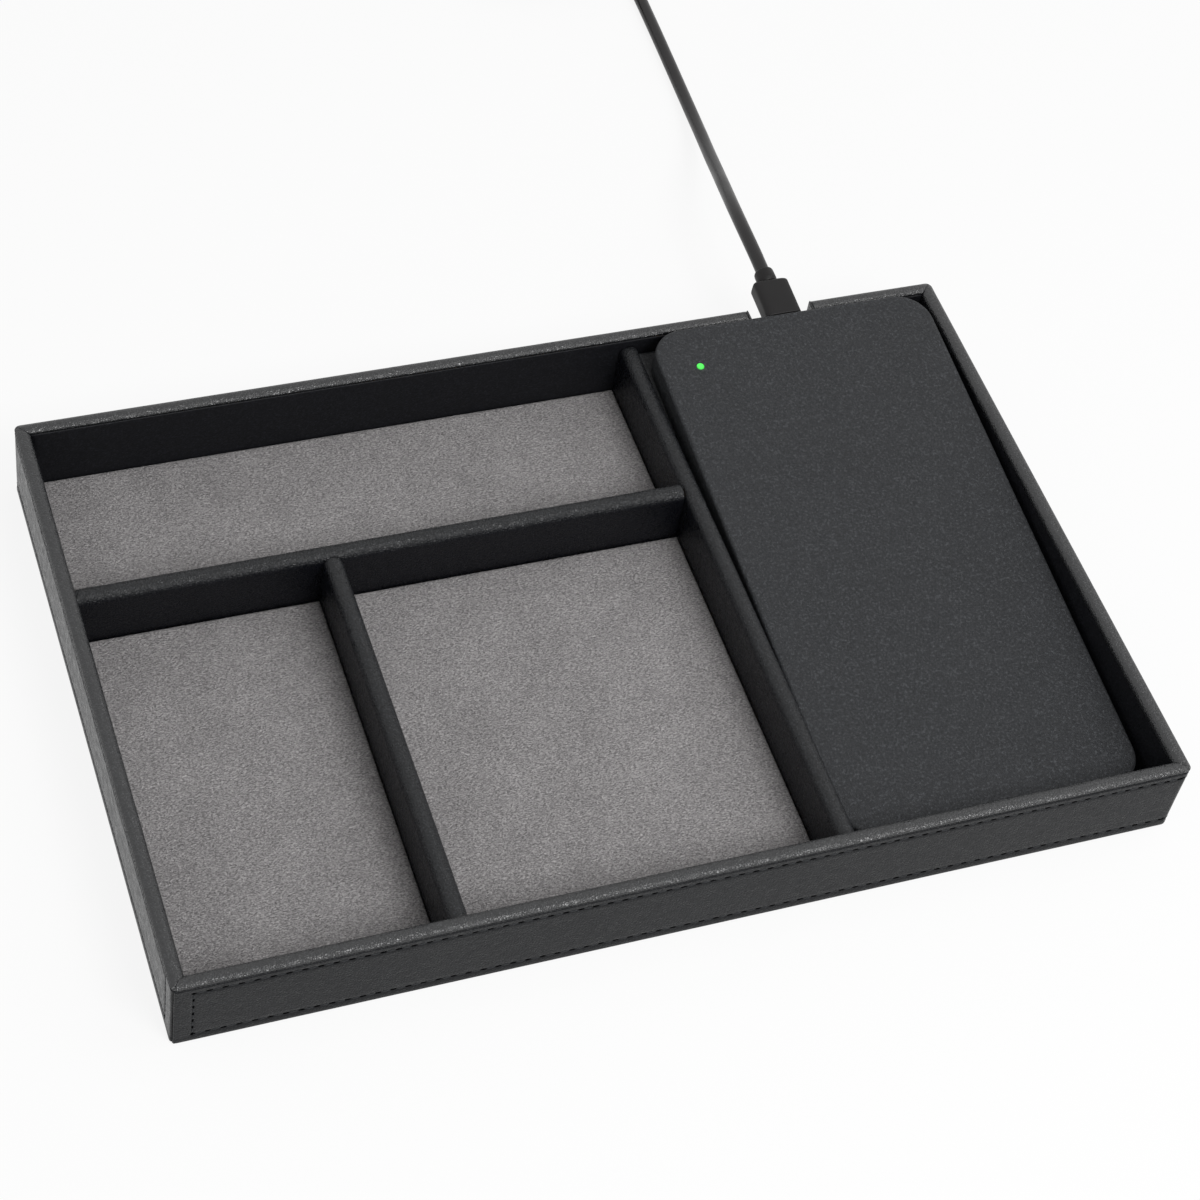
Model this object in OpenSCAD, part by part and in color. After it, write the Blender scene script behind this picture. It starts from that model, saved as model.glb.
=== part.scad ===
/* [Tray] */
// Outside length of the tray, left to right
tray_length = 300; // [270:1:360]
// Outside depth of the tray, front to back
tray_width = 200; // [170:1:240]
// Height of the outer walls
tray_height = 28.5; // [26:0.5:40]
// Thickness of the wall boards
board_thick = 2.7; // [2:0.1:4]
// Thickness of the base board
base_thick = 2; // [1.5:0.1:4]
// Thickness of all the leather on the tray
leather_thick = 0.8; // [0.6:0.1:1]
// Radius of the upright outer corners
corner_radius = 1.5; // [1.2:0.1:2.5]
// Width of the leather turned under the walls
turn_under = 4; // [3.5:0.1:8]
// How far the top binding is folded down outside
rim_turn = 1.2; // [1:0.1:3]
// Groove between the top binding and the outer panels
rim_groove = 0.15; // [0.1:0.05:0.4]

/* [Compartments] */
// Width of the front left compartment
watch_width = 72.7; // [50:0.1:90]
// Width of the charging bay
bay_width = 98.7; // [88:0.1:110]
// Depth of the long compartment at the back
glasses_depth = 56.6; // [40:0.1:70]
// Thickness of the wrapped dividers
divider_thick = 6; // [5:0.1:8]
// How far the dividers stay below the outer walls
divider_drop = 3.5; // [2:0.1:8]
// Radius of the dividers' top edges
divider_round = 1.8; // [1.2:0.1:2.4]
// Thickness of the foam under the soft floors
foam_thick = 2.2; // [1:0.1:4]
// Thickness of the suede on the soft floors
suede_thick = 0.7; // [0.4:0.1:1.2]
// Clearance at the ends of dividers and floors
glue_fit = 0.1; // [0.05:0.05:0.4]

/* [Cable notch] */
// Clear width of the notch in the back wall
notch_width = 21; // [16:0.5:30]
// Height of the notch's floor above the table
notch_floor = 16; // [12:0.5:20]

/* [Charger] */
// Slope of the charging bay in degrees
charger_tilt = 5.2; // [3:0.1:6]
// Thickness of the sloping block at its front end
wedge_front = 0.5; // [0.4:0.1:3]
// Gap between the charging pad and each side of its bay
charger_side_gap = 1.65; // [1:0.05:4]
// Gap in front of the charging pad, along the slope
charger_front_gap = 5.5; // [4:0.1:25]
// Thickness of the charging pad
charger_thick = 8.5; // [8.2:0.1:10]
// Radius of the pad's corners, seen from above
charger_corner = 11; // [6:0.5:14]
// Radius of the pad's top edge
charger_edge = 1.2; // [0.9:0.1:2]
// Thickness of the leather on the charging pad
cover_thick = 0.8; // [0.6:0.1:1]
// Wall and roof of the plastic housing
shell_wall = 1.2; // [1:0.1:1.8]
// Thickness of the housing's bottom plate
bottom_thick = 1.4; // [1.3:0.1:2]
// Distance between the pad and the back wall's lining
charger_fit = 0.35; // [0.3:0.05:1]
// Height of the rubber feet
foot_height = 0.8; // [0.5:0.1:1.5]
// Diameter of the rubber feet
foot_diameter = 10; // [8:0.5:10.5]
// Inset of the feet and screws from the pad's sides
foot_inset = 8; // [7:0.5:8.5]
// Diameter of the status light
light_diameter = 2.4; // [1.6:0.1:4]
// Distance of the status light from the pad's left side
light_from_side = 12.9; // [12.6:0.1:18]
// Distance of the status light from the pad's back side
light_from_back = 15.7; // [12:0.1:20]
// Outer diameter of the transmitter winding
coil_outer = 44; // [36:1:50]
// Inner diameter of the transmitter winding
coil_inner = 20; // [14:1:26]
// Thickness of the transmitter winding
coil_thick = 1.6; // [1:0.1:2]
// Side length of the ferrite shield
ferrite_side = 52; // [50:1:60]
// Thickness of the ferrite shield
ferrite_thick = 0.8; // [0.5:0.1:1]
// Thickness of the circuit board
circuit_thick = 1; // [0.8:0.1:1.2]
// Depth of the circuit board
circuit_depth = 24; // [22:0.5:30]

/* [Plug] */
// Width of the plug's metal shell
plug_shell_width = 8.25; // [8:0.05:8.5]
// Height of the plug's metal shell
plug_shell_height = 2.4; // [2.3:0.05:2.5]
// Length of the plug's metal shell
plug_shell_length = 7.3; // [6.5:0.1:7.5]
// Clearance round the plug in its port
plug_fit = 0.12; // [0.08:0.02:0.2]
// Width of the plug's moulded body
plug_width = 12; // [11:0.1:14]
// Height of the plug's moulded body
plug_height = 6.4; // [5.5:0.1:6.6]
// Length of the plug's moulded body
plug_length = 14.5; // [12:0.1:20]
// Gap between the seated plug and the pad
plug_gap = 0.3; // [0.2:0.05:0.5]

/* [Cord] */
// Diameter of the cord
cord_diameter = 4.5; // [3.6:0.1:4.6]
// Length of the strain relief collars
collar_length = 5; // [4:0.5:10]
// Distance from turn to turn in the coil
coil_pitch = 4.7; // [4.6:0.1:5]
// Radius of the coil's outermost turn
coil_radius = 32; // [31:0.5:34]
// Thickness of the strap round the coil
tie_thick = 0.8; // [0.6:0.1:0.9]
// Width of the strap round the coil
tie_width = 10; // [8:0.5:12]

/* [Hidden] */
$fn = 48;

leather_colour = "#404245";
lining_colour = "#1c1d1f";
suede_colour = "#7d7878";
board_colour = "#a58a62";
plastic_colour = "#26272a";
metal_colour = "#b9bcc0";
rubber_colour = "#202022";
cord_colour = "#2b2829";

// Cutting bodies run past the faces that they cut by this much
over = 1;

// Tray: a wall is outer leather, board and lining
wall = leather_thick + board_thick + leather_thick;
inner_length = tray_length - 2 * wall;
inner_width = tray_width - 2 * wall;
board_top = tray_height - leather_thick;
base_top = leather_thick + base_thick;
divider_top = tray_height - divider_drop;
felt_fit = 0.3;
rim_round = 0.8;

// Divider faces
long_right = inner_length / 2 - bay_width;
long_left = long_right - divider_thick;
cross_back = inner_width / 2 - glasses_depth;
cross_front = cross_back - divider_thick;
short_left = -inner_length / 2 + watch_width;
short_right = short_left + divider_thick;
bay_x = long_right + bay_width / 2;

// Low and high corners of the soft floors' compartments
glasses_low = [-inner_length / 2, cross_back];
glasses_high = [long_left, inner_width / 2];
watch_low = [-inner_length / 2, -inner_width / 2];
watch_high = [short_left, cross_front];
key_low = [short_right, -inner_width / 2];
key_high = [long_left, cross_front];

// Slope: heights above the wedge's top, measured square to it
charger_z = leather_thick + foot_height;
charger_back = (inner_width - charger_fit + charger_z * sin(charger_tilt)) / cos(charger_tilt);
charger_width = bay_width - 2 * charger_side_gap;
charger_length = charger_back - charger_front_gap;
charger_mid = charger_back - charger_length / 2;
shell_width = charger_width - 2 * cover_thick;
shell_length = charger_length - 2 * cover_thick;
shell_corner = charger_corner - cover_thick;
shell_top = charger_thick - cover_thick;
cavity_top = shell_top - shell_wall;
screw_x = charger_width / 2 - foot_inset;
screw_y = charger_length / 2 - foot_inset;
screw_diameter = 2;
screw_head = 4.6;
screw_head_depth = 0.8;
screw_fit = 0.1;
screw_short = 1;
boss_diameter = 6;
boss_roof = 0.5;
post_height = 0.6;
post_diameter = 4;
post_inset = [12, 4];
circuit_z = bottom_thick + post_height;
circuit_fit = 0.3;
boss_gap = 0.7;
circuit_width = 2 * (screw_x - boss_diameter / 2 - boss_gap);
circuit_back = charger_length / 2 - cover_thick - shell_wall - circuit_fit;
light_x = -charger_width / 2 + light_from_side;
light_y = charger_length / 2 - light_from_back;
light_fit = 0.1;
light_proud = 0.1;
lamp_height = 0.7;
lamp_side = 1.6;

// Chips: across, from the board's back edge, length, width, height
chips = [
    [-16, 15, 6, 6, 0.9], [2, 15, 5, 5, 0.8], [14, 14, 4, 3, 1.6],
    [21, 14, 4, 3, 1.6], [28, 13, 4, 5, 2.2], [-24, 13, 3, 3, 1.2]
];

// Port and plug, on one axis that runs back along the slope
port_wall = 0.3;
port_inner_width = plug_shell_width + 2 * plug_fit;
port_inner_height = plug_shell_height + 2 * plug_fit;
port_width = port_inner_width + 2 * port_wall;
port_height = port_inner_height + 2 * port_wall;
port_length = 7.8;
port_back = 0.5;
cover_port_room = 0.3;
shell_port_room = 0.1;
slot_flat = 0.01;
port_z = circuit_z + circuit_thick + port_height / 2;
port_mouth = charger_length / 2 - cover_thick;
tongue_width = 6.6;
tongue_thick = 0.7;
tongue_length = 5.5;
plug_wall = 0.35;
plug_end = 0.5;
plug_round = 2;
plug_edge = 1.2;
collar_big = 6.6;
collar_small = 6.4;
plug_front = charger_back + plug_gap;
collar_front = plug_front + plug_length;
cord_start = collar_front + collar_length;
port_axis_z = charger_z + port_z;

// The cord's route, in the tray's own frame
cord_radius = cord_diameter / 2;
cord_exit = slope_point(cord_start, port_axis_z);
cord_leave = slope_point(cord_start + 1.5 * cord_diameter, port_axis_z);
coil_centre = [83, 321];
tie_rest = 0.2;
coil_low = tie_thick + tie_rest + cord_radius;
coil_start = [coil_centre.x + coil_radius, coil_centre.y, coil_low];
cord_points = [
    [96.4, 126, 29.45], [96.9, 136, 28.9], [98.5, 148, 26.3], [101.2, 161, 21.7],
    [104.3, 174, 16.3], [107.4, 188, 10.9], [110, 202, 6.8], [111.9, 216, 4],
    [113.1, 230, 2.6], [113.8, 244, 2.25], [114.3, 258, 2.25], [114.7, 272, 2.25],
    [115, 286, 2.3], [115, 300, 2.6], [115, 310, 3.05]
];
cord_route = concat(
    [cord_exit, cord_leave], cord_points,
    [coil_start - [0, cord_diameter, 0], coil_start]
);

// Coil: one tube that spirals in below and out again above, square to the cord at both ends
coil_turns = 7.25;
climb_turns = 0.5;
coil_steps = 24;
coil_sides = 6;
coil_straight = 2;
coil_end = [coil_centre.x, coil_centre.y + coil_radius, coil_low + coil_pitch];
coil_route = concat(
    [coil_start, coil_start + [0, coil_straight, 0]],
    [for (k = [1 : coil_turns * coil_steps - 1]) coil_point(k / coil_steps)],
    [coil_end + [coil_straight, 0, 0], coil_end]
);

// Tail: off the top of the coil, down and into the far plug
far_plug_z = 4;
tail_points = [
    [74, 353, 7.7], [66, 353, 6.3], [58, 353, 4.3], [50, 353, 2.9], [42, 353, 2.9], [36, 353, 3.7]
];
far_collar_x = 27;
far_y = 353;
tail_route = concat(
    [coil_end, coil_end - [cord_diameter, 0, 0]], tail_points,
    [[far_collar_x + cord_diameter, far_y, far_plug_z], [far_collar_x, far_y, far_plug_z]]
);
far_width = 16;
far_height = 8;
far_length = 24;
far_shell_width = 12;
far_shell_height = 4.5;
far_shell_length = 12;
far_shell_wall = 0.4;
far_shell_round = 0.5;
far_tongue_fit = 0.3;
cord_sides = 10;

// The strap's place round the coil, and the room inside it
tie_angle = 225;
tie_room = 0.4;
tie_round = 2;

// A point of the sloping frame, on the charger's middle line, in the tray's frame
function slope_point(y, z) = [
    bay_x,
    -inner_width / 2 + y * cos(charger_tilt) - z * sin(charger_tilt),
    base_top + wedge_front + y * sin(charger_tilt) + z * cos(charger_tilt)
];

// Height of the wedge's top at a place in the tray
function wedge_height(y) = base_top + wedge_front + (y + inner_width / 2) * tan(charger_tilt);

// A point of the coil's middle line after t turns
function coil_reach(t) = coil_radius - coil_pitch * min(t, coil_turns - t);
function coil_climb(t) = min(1, max(0, 0.5 + (t - coil_turns / 2) / climb_turns));
function coil_point(t) = [
    coil_centre.x + coil_reach(t) * cos(360 * t),
    coil_centre.y + coil_reach(t) * sin(360 * t),
    coil_low + coil_pitch * coil_climb(t)
];

// Least gap of a wound tube to itself, over points at least half a turn apart
function wound_gap(route, away, thick) = min([
    for (i = [0 : len(route) - 1 - away], j = [i + away : len(route) - 1])
        norm(route[i] - route[j])
]) - thick;

// Length of a route
function route_length(route) = let (steps = [
    for (i = [1 : len(route) - 1]) norm(route[i] - route[i - 1])
]) steps * [for (s = steps) 1];

function unit(v) = v / norm(v);

// Direction of a route at one of its points
function heading(route, i) =
    i == 0 ? unit(route[1] - route[0])
    : i == len(route) - 1 ? unit(route[i] - route[i - 1])
    : unit(unit(route[i + 1] - route[i]) + unit(route[i] - route[i - 1]));

// A solid tube along a route that never stands upright
module tube(route, radius, sides) {
    rings = len(route);
    points = [
        for (i = [0 : rings - 1])
            let (
                ahead = heading(route, i),
                side = unit(cross(ahead, [0, 0, 1])),
                up = cross(side, ahead)
            )
            for (k = [0 : sides - 1])
                route[i] + radius * (cos(360 * k / sides) * side + sin(360 * k / sides) * up)
    ];
    walls = [
        for (i = [0 : rings - 2], k = [0 : sides - 1])
            let (
                a = i * sides + k,
                b = i * sides + (k + 1) % sides
            )
            each [[a, a + sides, b], [b, a + sides, b + sides]]
    ];
    last = (rings - 1) * sides;
    caps = [
        for (k = [1 : sides - 2])
            each [[0, k, k + 1], [last, last + k + 1, last + k]]
    ];
    polyhedron(points, concat(walls, caps), convexity = 8);
}

// A flat rectangle with true round corners, centred
module rounded_rect(length, width, radius) {
    square([length - 2 * radius, width], center = true);
    square([length, width - 2 * radius], center = true);
    for (x = [-1, 1], y = [-1, 1])
        translate([x * (length / 2 - radius), y * (width / 2 - radius)])
            circle(radius);
}

// A plate that stands on z = 0, with round corners and a rounded upper edge
module soft_plate(length, width, height, radius, edge) {
    linear_extrude(height - edge) rounded_rect(length, width, radius);
    linear_extrude(height) rounded_rect(length - 2 * edge, width - 2 * edge, radius - edge);
    for (s = [-1, 1]) {
        translate([0, s * (width / 2 - edge), height - edge]) rotate([0, 90, 0])
            cylinder(h = length - 2 * radius, r = edge, center = true);
        translate([s * (length / 2 - edge), 0, height - edge]) rotate([90, 0, 0])
            cylinder(h = width - 2 * radius, r = edge, center = true);
    }
    for (x = [-1, 1], y = [-1, 1])
        translate([x * (length / 2 - radius), y * (width / 2 - radius), height - edge])
            rotate_extrude() intersection() {
                translate([radius - edge, 0]) circle(edge);
                translate([0, -edge]) square([radius, 2 * edge]);
            }
}

// A box given by its lowest and highest corners
module box(low, high) {
    translate(low) cube(high - low);
}

// The outline of the tray between two heights
module tray_outline(low, high) {
    translate([0, 0, low]) linear_extrude(high - low)
        rounded_rect(tray_length, tray_width, corner_radius);
}

// Keeps one side of a frame: 0 front, 1 right, 2 back, 3 left, cut at 45 degrees
module mitred(side) {
    turned = side % 2 == 1;
    run = (turned ? tray_width : tray_length) / 2;
    reach = (turned ? tray_length : tray_width) / 2;
    depth = turn_under + over;
    intersection() {
        children();
        rotate(90 * side) translate([0, 0, -over]) linear_extrude(tray_height + 2 * over)
            polygon([
                [-run - over, -reach - over], [run + over, -reach - over],
                [run - depth, -reach + depth], [-run + depth, -reach + depth]
            ]);
    }
}

// The way through the back wall, with room for a lining of the given thickness
module notch_cut(room) {
    translate([bay_x, 0, 0]) box(
        [-notch_width / 2 - room, inner_width / 2 - over, notch_floor - room],
        [notch_width / 2 + room, tray_width / 2 + over, tray_height + over]
    );
}

// The charger's frame: x across, y up the slope, z square to the bay's bed
module on_slope() {
    translate([bay_x, -inner_width / 2, base_top + wedge_front])
        rotate([charger_tilt, 0, 0]) children();
}

// The charger's own frame: the middle of its underside
module in_charger() {
    on_slope() translate([0, charger_mid, charger_z]) children();
}

// The plug's frame: on the port's axis, z pointing out of the port
module on_port_axis(y) {
    on_slope() translate([0, y, port_axis_z]) rotate([-90, 0, 0]) children();
}

module felt_base() {
    inset = turn_under + felt_fit;
    color("#2a2a2c") box(
        [-tray_length / 2 + inset, -tray_width / 2 + inset, 0],
        [tray_length / 2 - inset, tray_width / 2 - inset, leather_thick]
    );
}

module base_board() {
    half_length = tray_length / 2 - leather_thick - board_thick;
    half_width = tray_width / 2 - leather_thick - board_thick;
    color(board_colour)
        box([-half_length, -half_width, leather_thick], [half_length, half_width, base_top]);
}

// A board along the front (-1) or the back (1)
module long_board(side) {
    near = tray_width / 2 - leather_thick - board_thick;
    half = tray_length / 2 - leather_thick;
    mirror([0, side < 0 ? 1 : 0, 0])
        box([-half, near, leather_thick], [half, near + board_thick, board_top]);
}

// A board along the left (-1) or the right (1), between the long ones
module end_board(side) {
    near = tray_length / 2 - leather_thick - board_thick;
    half = tray_width / 2 - leather_thick - board_thick;
    mirror([side < 0 ? 1 : 0, 0, 0])
        box([near, -half, leather_thick], [near + board_thick, half, board_top]);
}

module front_board() {
    color(board_colour) long_board(-1);
}

module back_board() {
    color(board_colour) difference() {
        long_board(1);
        notch_cut(leather_thick);
    }
}

module left_board() {
    color(board_colour) end_board(-1);
}

module right_board() {
    color(board_colour) end_board(1);
}

// The outer leather: a skin on the boards, turned under at the bottom
module outer_skin() {
    difference() {
        tray_outline(0, tray_height - rim_turn - rim_groove);
        box(
            [-tray_length / 2 + leather_thick, -tray_width / 2 + leather_thick, leather_thick],
            [tray_length / 2 - leather_thick, tray_width / 2 - leather_thick, tray_height]
        );
        box(
            [-tray_length / 2 + turn_under, -tray_width / 2 + turn_under, -over],
            [tray_length / 2 - turn_under, tray_width / 2 - turn_under, tray_height]
        );
    }
}

module front_leather() {
    color(leather_colour) mitred(0) outer_skin();
}

module right_leather() {
    color(leather_colour) mitred(1) outer_skin();
}

module back_leather() {
    color(leather_colour) difference() {
        mitred(2) outer_skin();
        notch_cut(leather_thick);
    }
}

module left_leather() {
    color(leather_colour) mitred(3) outer_skin();
}

// Section of the top binding, outer face at x = 0, top at y = 0
module rim_section() {
    difference() {
        union() {
            translate([0, -rim_turn]) square([wall, rim_turn - rim_round]);
            translate([rim_round, -rim_turn]) square([wall - 2 * rim_round, rim_turn]);
            for (x = [rim_round, wall - rim_round])
                translate([x, -rim_round]) circle(rim_round);
        }
        translate([leather_thick, -rim_turn - over])
            square([wall, rim_turn + over - leather_thick]);
        translate([-over, -rim_turn - over]) square([wall + 2 * over, over]);
    }
}

module rim_binding() {
    color(leather_colour) difference() {
        intersection() {
            union() for (side = [0 : 3]) mitred(side) {
                turned = side % 2 == 1;
                run = turned ? tray_width : tray_length;
                reach = (turned ? tray_length : tray_width) / 2;
                rotate(90 * side) translate([-run / 2, -reach, tray_height])
                    rotate([90, 0, 90]) linear_extrude(run) rim_section();
            }
            tray_outline(0, tray_height + over);
        }
        notch_cut(leather_thick);
    }
}

// Linings stand on the base board and reach up under the binding
module long_lining(side) {
    half = tray_length / 2 - leather_thick - board_thick;
    mirror([0, side < 0 ? 1 : 0, 0])
        box([-half, inner_width / 2, base_top], [half, inner_width / 2 + leather_thick, board_top]);
}

module end_lining(side) {
    half = inner_width / 2;
    mirror([side < 0 ? 1 : 0, 0, 0])
        box([inner_length / 2, -half, base_top], [inner_length / 2 + leather_thick, half, board_top]);
}

module front_lining() {
    color(lining_colour) long_lining(-1);
}

module back_lining() {
    color(lining_colour) difference() {
        long_lining(1);
        notch_cut(leather_thick);
    }
}

module left_lining() {
    color(lining_colour) end_lining(-1);
}

module right_lining() {
    color(lining_colour) end_lining(1);
}

module notch_lining() {
    low = notch_floor - leather_thick;
    half = notch_width / 2 + leather_thick;
    color(leather_colour) difference() {
        translate([bay_x, 0, 0]) box(
            [-half, inner_width / 2, low],
            [half, tray_width / 2, tray_height - rim_round / 2]
        );
        notch_cut(0);
    }
}

// Section of a divider: its middle at x = 0, its foot at y = 0
module divider_section(thick, height, radius) {
    translate([-thick / 2, 0]) square([thick, height - radius]);
    translate([-thick / 2 + radius, 0]) square([thick - 2 * radius, height]);
    for (x = [-1, 1]) translate([x * (thick / 2 - radius), height - radius]) circle(radius);
}

// The board of a divider that runs along y from one place to another
module divider_board(from, to) {
    thick = divider_thick - 2 * leather_thick;
    radius = divider_round - leather_thick;
    translate([0, to, base_top]) rotate([90, 0, 0]) linear_extrude(to - from)
        divider_section(thick, divider_top - base_top - leather_thick, radius);
}

// The leather wrapped over such a board
module divider_wrap(from, to) {
    thick = divider_thick - 2 * leather_thick;
    height = divider_top - base_top;
    translate([0, to, base_top]) rotate([90, 0, 0]) linear_extrude(to - from) difference() {
        divider_section(divider_thick, height, divider_round);
        divider_section(thick, height - leather_thick, divider_round - leather_thick);
    }
}

// Places for the three dividers; each child runs along y
module cross_place() {
    translate([0, (cross_front + cross_back) / 2, 0]) rotate(-90) children();
}

module short_place() {
    translate([(short_left + short_right) / 2, 0, 0]) children();
}

module long_place() {
    translate([(long_left + long_right) / 2, 0, 0]) children();
}

module cross_divider_board() {
    color(board_colour) cross_place()
        divider_board(-inner_length / 2 + glue_fit, long_left - glue_fit);
}

module cross_divider_wrap() {
    color(leather_colour) cross_place()
        divider_wrap(-inner_length / 2 + glue_fit, long_left - glue_fit);
}

module short_divider_board() {
    color(board_colour) short_place()
        divider_board(-inner_width / 2 + glue_fit, cross_front - glue_fit);
}

module short_divider_wrap() {
    color(leather_colour) short_place()
        divider_wrap(-inner_width / 2 + glue_fit, cross_front - glue_fit);
}

module long_divider_board() {
    color(board_colour) long_place()
        divider_board(-inner_width / 2 + glue_fit, inner_width / 2 - glue_fit);
}

module long_divider_wrap() {
    color(leather_colour) long_place()
        divider_wrap(-inner_width / 2 + glue_fit, inner_width / 2 - glue_fit);
}

// A floor layer that fills a compartment between two corners
module floor_layer(low, high, bottom, thick) {
    box(
        [low.x + glue_fit, low.y + glue_fit, bottom],
        [high.x - glue_fit, high.y - glue_fit, bottom + thick]
    );
}

module glasses_floor_foam() {
    color("#d8d4c8") floor_layer(glasses_low, glasses_high, base_top, foam_thick);
}

module glasses_floor_suede() {
    color(suede_colour)
        floor_layer(glasses_low, glasses_high, base_top + foam_thick, suede_thick);
}

module watch_floor_foam() {
    color("#d8d4c8") floor_layer(watch_low, watch_high, base_top, foam_thick);
}

module watch_floor_suede() {
    color(suede_colour) floor_layer(watch_low, watch_high, base_top + foam_thick, suede_thick);
}

module key_floor_foam() {
    color("#d8d4c8") floor_layer(key_low, key_high, base_top, foam_thick);
}

module key_floor_suede() {
    color(suede_colour) floor_layer(key_low, key_high, base_top + foam_thick, suede_thick);
}

// A layer across the bay, given by its section from front to back
module bay_layer(section) {
    translate([long_right + glue_fit, 0, 0]) rotate([90, 0, 90])
        linear_extrude(bay_width - 2 * glue_fit) polygon(section);
}

module bay_wedge() {
    half = inner_width / 2 - glue_fit;
    color(board_colour) bay_layer([
        [-half, base_top], [half, base_top],
        [half, wedge_height(half)], [-half, wedge_height(-half)]
    ]);
}

module bay_cover() {
    half = inner_width / 2 - glue_fit;
    thick = leather_thick / cos(charger_tilt);
    color(leather_colour) bay_layer([
        [-half, wedge_height(-half)], [half, wedge_height(half)],
        [half, wedge_height(half) + thick], [-half, wedge_height(-half) + thick]
    ]);
}

// A slot through the pad's back side, for the port
module port_slot(room) {
    translate([0, charger_length / 2, port_z]) rotate([90, 0, 0]) translate([0, 0, -over])
        linear_extrude(cover_thick + shell_wall + 2 * over)
            rounded_rect(
                port_width + 2 * room, port_height + 2 * room,
                port_height / 2 + room - slot_flat
            );
}

// The hole for the status light
module light_hole() {
    translate([light_x, light_y, cavity_top - over])
        cylinder(h = charger_thick, d = light_diameter + 2 * light_fit);
}

// Places at the pad's four corners, for screws and feet
module at_corners() {
    for (x = [-1, 1], y = [-1, 1]) translate([x * screw_x, y * screw_y, 0]) children();
}

module charger_cover() {
    color(leather_colour) in_charger() difference() {
        soft_plate(charger_width, charger_length, charger_thick, charger_corner, charger_edge);
        translate([0, 0, -over]) linear_extrude(shell_top + over)
            rounded_rect(shell_width, shell_length, shell_corner);
        port_slot(cover_port_room);
        light_hole();
    }
}

module charger_top_shell() {
    cavity_height = cavity_top - bottom_thick;
    color(plastic_colour) in_charger() difference() {
        union() {
            difference() {
                translate([0, 0, bottom_thick]) linear_extrude(shell_top - bottom_thick)
                    rounded_rect(shell_width, shell_length, shell_corner);
                translate([0, 0, bottom_thick - over]) linear_extrude(cavity_height + over)
                    rounded_rect(
                        shell_width - 2 * shell_wall, shell_length - 2 * shell_wall,
                        shell_corner - shell_wall
                    );
            }
            at_corners() translate([0, 0, bottom_thick])
                cylinder(h = cavity_height + shell_wall / 2, d = boss_diameter);
        }
        at_corners() translate([0, 0, bottom_thick - over])
            cylinder(h = cavity_height - boss_roof + over, d = screw_diameter + screw_fit);
        port_slot(shell_port_room);
        light_hole();
    }
}

module charger_bottom_shell() {
    color(plastic_colour) in_charger() difference() {
        union() {
            linear_extrude(bottom_thick) rounded_rect(shell_width, shell_length, shell_corner);
            for (x = [-1, 1], y = [post_inset.y, circuit_depth - post_inset.y])
                translate([x * (circuit_width / 2 - post_inset.x), circuit_back - y, 0])
                    cylinder(h = circuit_z, d = post_diameter);
        }
        at_corners() translate([0, 0, -over]) {
            cylinder(h = bottom_thick + 2 * over, d = screw_diameter + 2 * screw_fit);
            cylinder(h = screw_head_depth + over, d = screw_head + 2 * screw_fit);
        }
    }
}

module charging_coil() {
    color("#b87333") in_charger() translate([0, 0, cavity_top - coil_thick]) difference() {
        cylinder(h = coil_thick, d = coil_outer);
        translate([0, 0, -over]) cylinder(h = coil_thick + 2 * over, d = coil_inner);
    }
}

module ferrite_shield() {
    color("#3a3a3d") in_charger()
        translate([0, 0, cavity_top - coil_thick - ferrite_thick / 2])
            cube([ferrite_side, ferrite_side, ferrite_thick], center = true);
}

module circuit_board() {
    color("#1f5a35") in_charger() box(
        [-circuit_width / 2, circuit_back - circuit_depth, circuit_z],
        [circuit_width / 2, circuit_back, circuit_z + circuit_thick]
    );
}

module board_chips() {
    color("#17181a") in_charger() for (chip = chips)
        translate([chip[0], circuit_back - chip[1], circuit_z + circuit_thick + chip[4] / 2])
            cube([chip[2], chip[3], chip[4]], center = true);
}

module status_lamp() {
    color("#e9f5e2") in_charger()
        translate([light_x, light_y, circuit_z + circuit_thick + lamp_height / 2])
            cube([lamp_side, lamp_side, lamp_height], center = true);
}

module status_light_pipe() {
    low = circuit_z + circuit_thick + lamp_height;
    color("#3ee04c") in_charger() translate([light_x, light_y, low])
        cylinder(h = charger_thick + light_proud - low, d = light_diameter);
}

// A slot-shaped bar along z with fully round sides
module slot_bar(width, height, length) {
    linear_extrude(length) rounded_rect(width, height, height / 2 - slot_flat);
}

module usb_port() {
    color(metal_colour) in_charger() translate([0, port_mouth - port_length, port_z])
        rotate([-90, 0, 0]) difference() {
            slot_bar(port_width, port_height, port_length);
            translate([0, 0, port_back])
                slot_bar(port_inner_width, port_inner_height, port_length);
        }
}

module port_tongue() {
    color("#101012") in_charger()
        translate([0, port_mouth - port_length + port_back + tongue_length / 2, port_z])
            cube([tongue_width, tongue_length, tongue_thick], center = true);
}

module charger_screws() {
    color(metal_colour) in_charger() at_corners() {
        cylinder(h = screw_head_depth, d = screw_head);
        cylinder(h = cavity_top - screw_short, d = screw_diameter);
    }
}

module charger_feet() {
    color(rubber_colour) in_charger() at_corners() translate([0, 0, -foot_height])
        cylinder(h = foot_height, d = foot_diameter);
}

module plug_shell() {
    color(metal_colour) on_port_axis(plug_front - plug_shell_length) difference() {
        slot_bar(plug_shell_width, plug_shell_height, plug_shell_length);
        translate([0, 0, -over]) slot_bar(
            plug_shell_width - 2 * plug_wall, plug_shell_height - 2 * plug_wall,
            plug_shell_length + over - plug_end
        );
    }
}

module plug_body() {
    color(rubber_colour) on_port_axis(plug_front)
        soft_plate(plug_width, plug_height, plug_length, plug_round, plug_edge);
}

module plug_collar() {
    color(rubber_colour) on_port_axis(collar_front)
        cylinder(h = collar_length, d1 = collar_big, d2 = collar_small);
}

module cord() {
    color(cord_colour) tube(cord_route, cord_radius, cord_sides);
}

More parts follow.
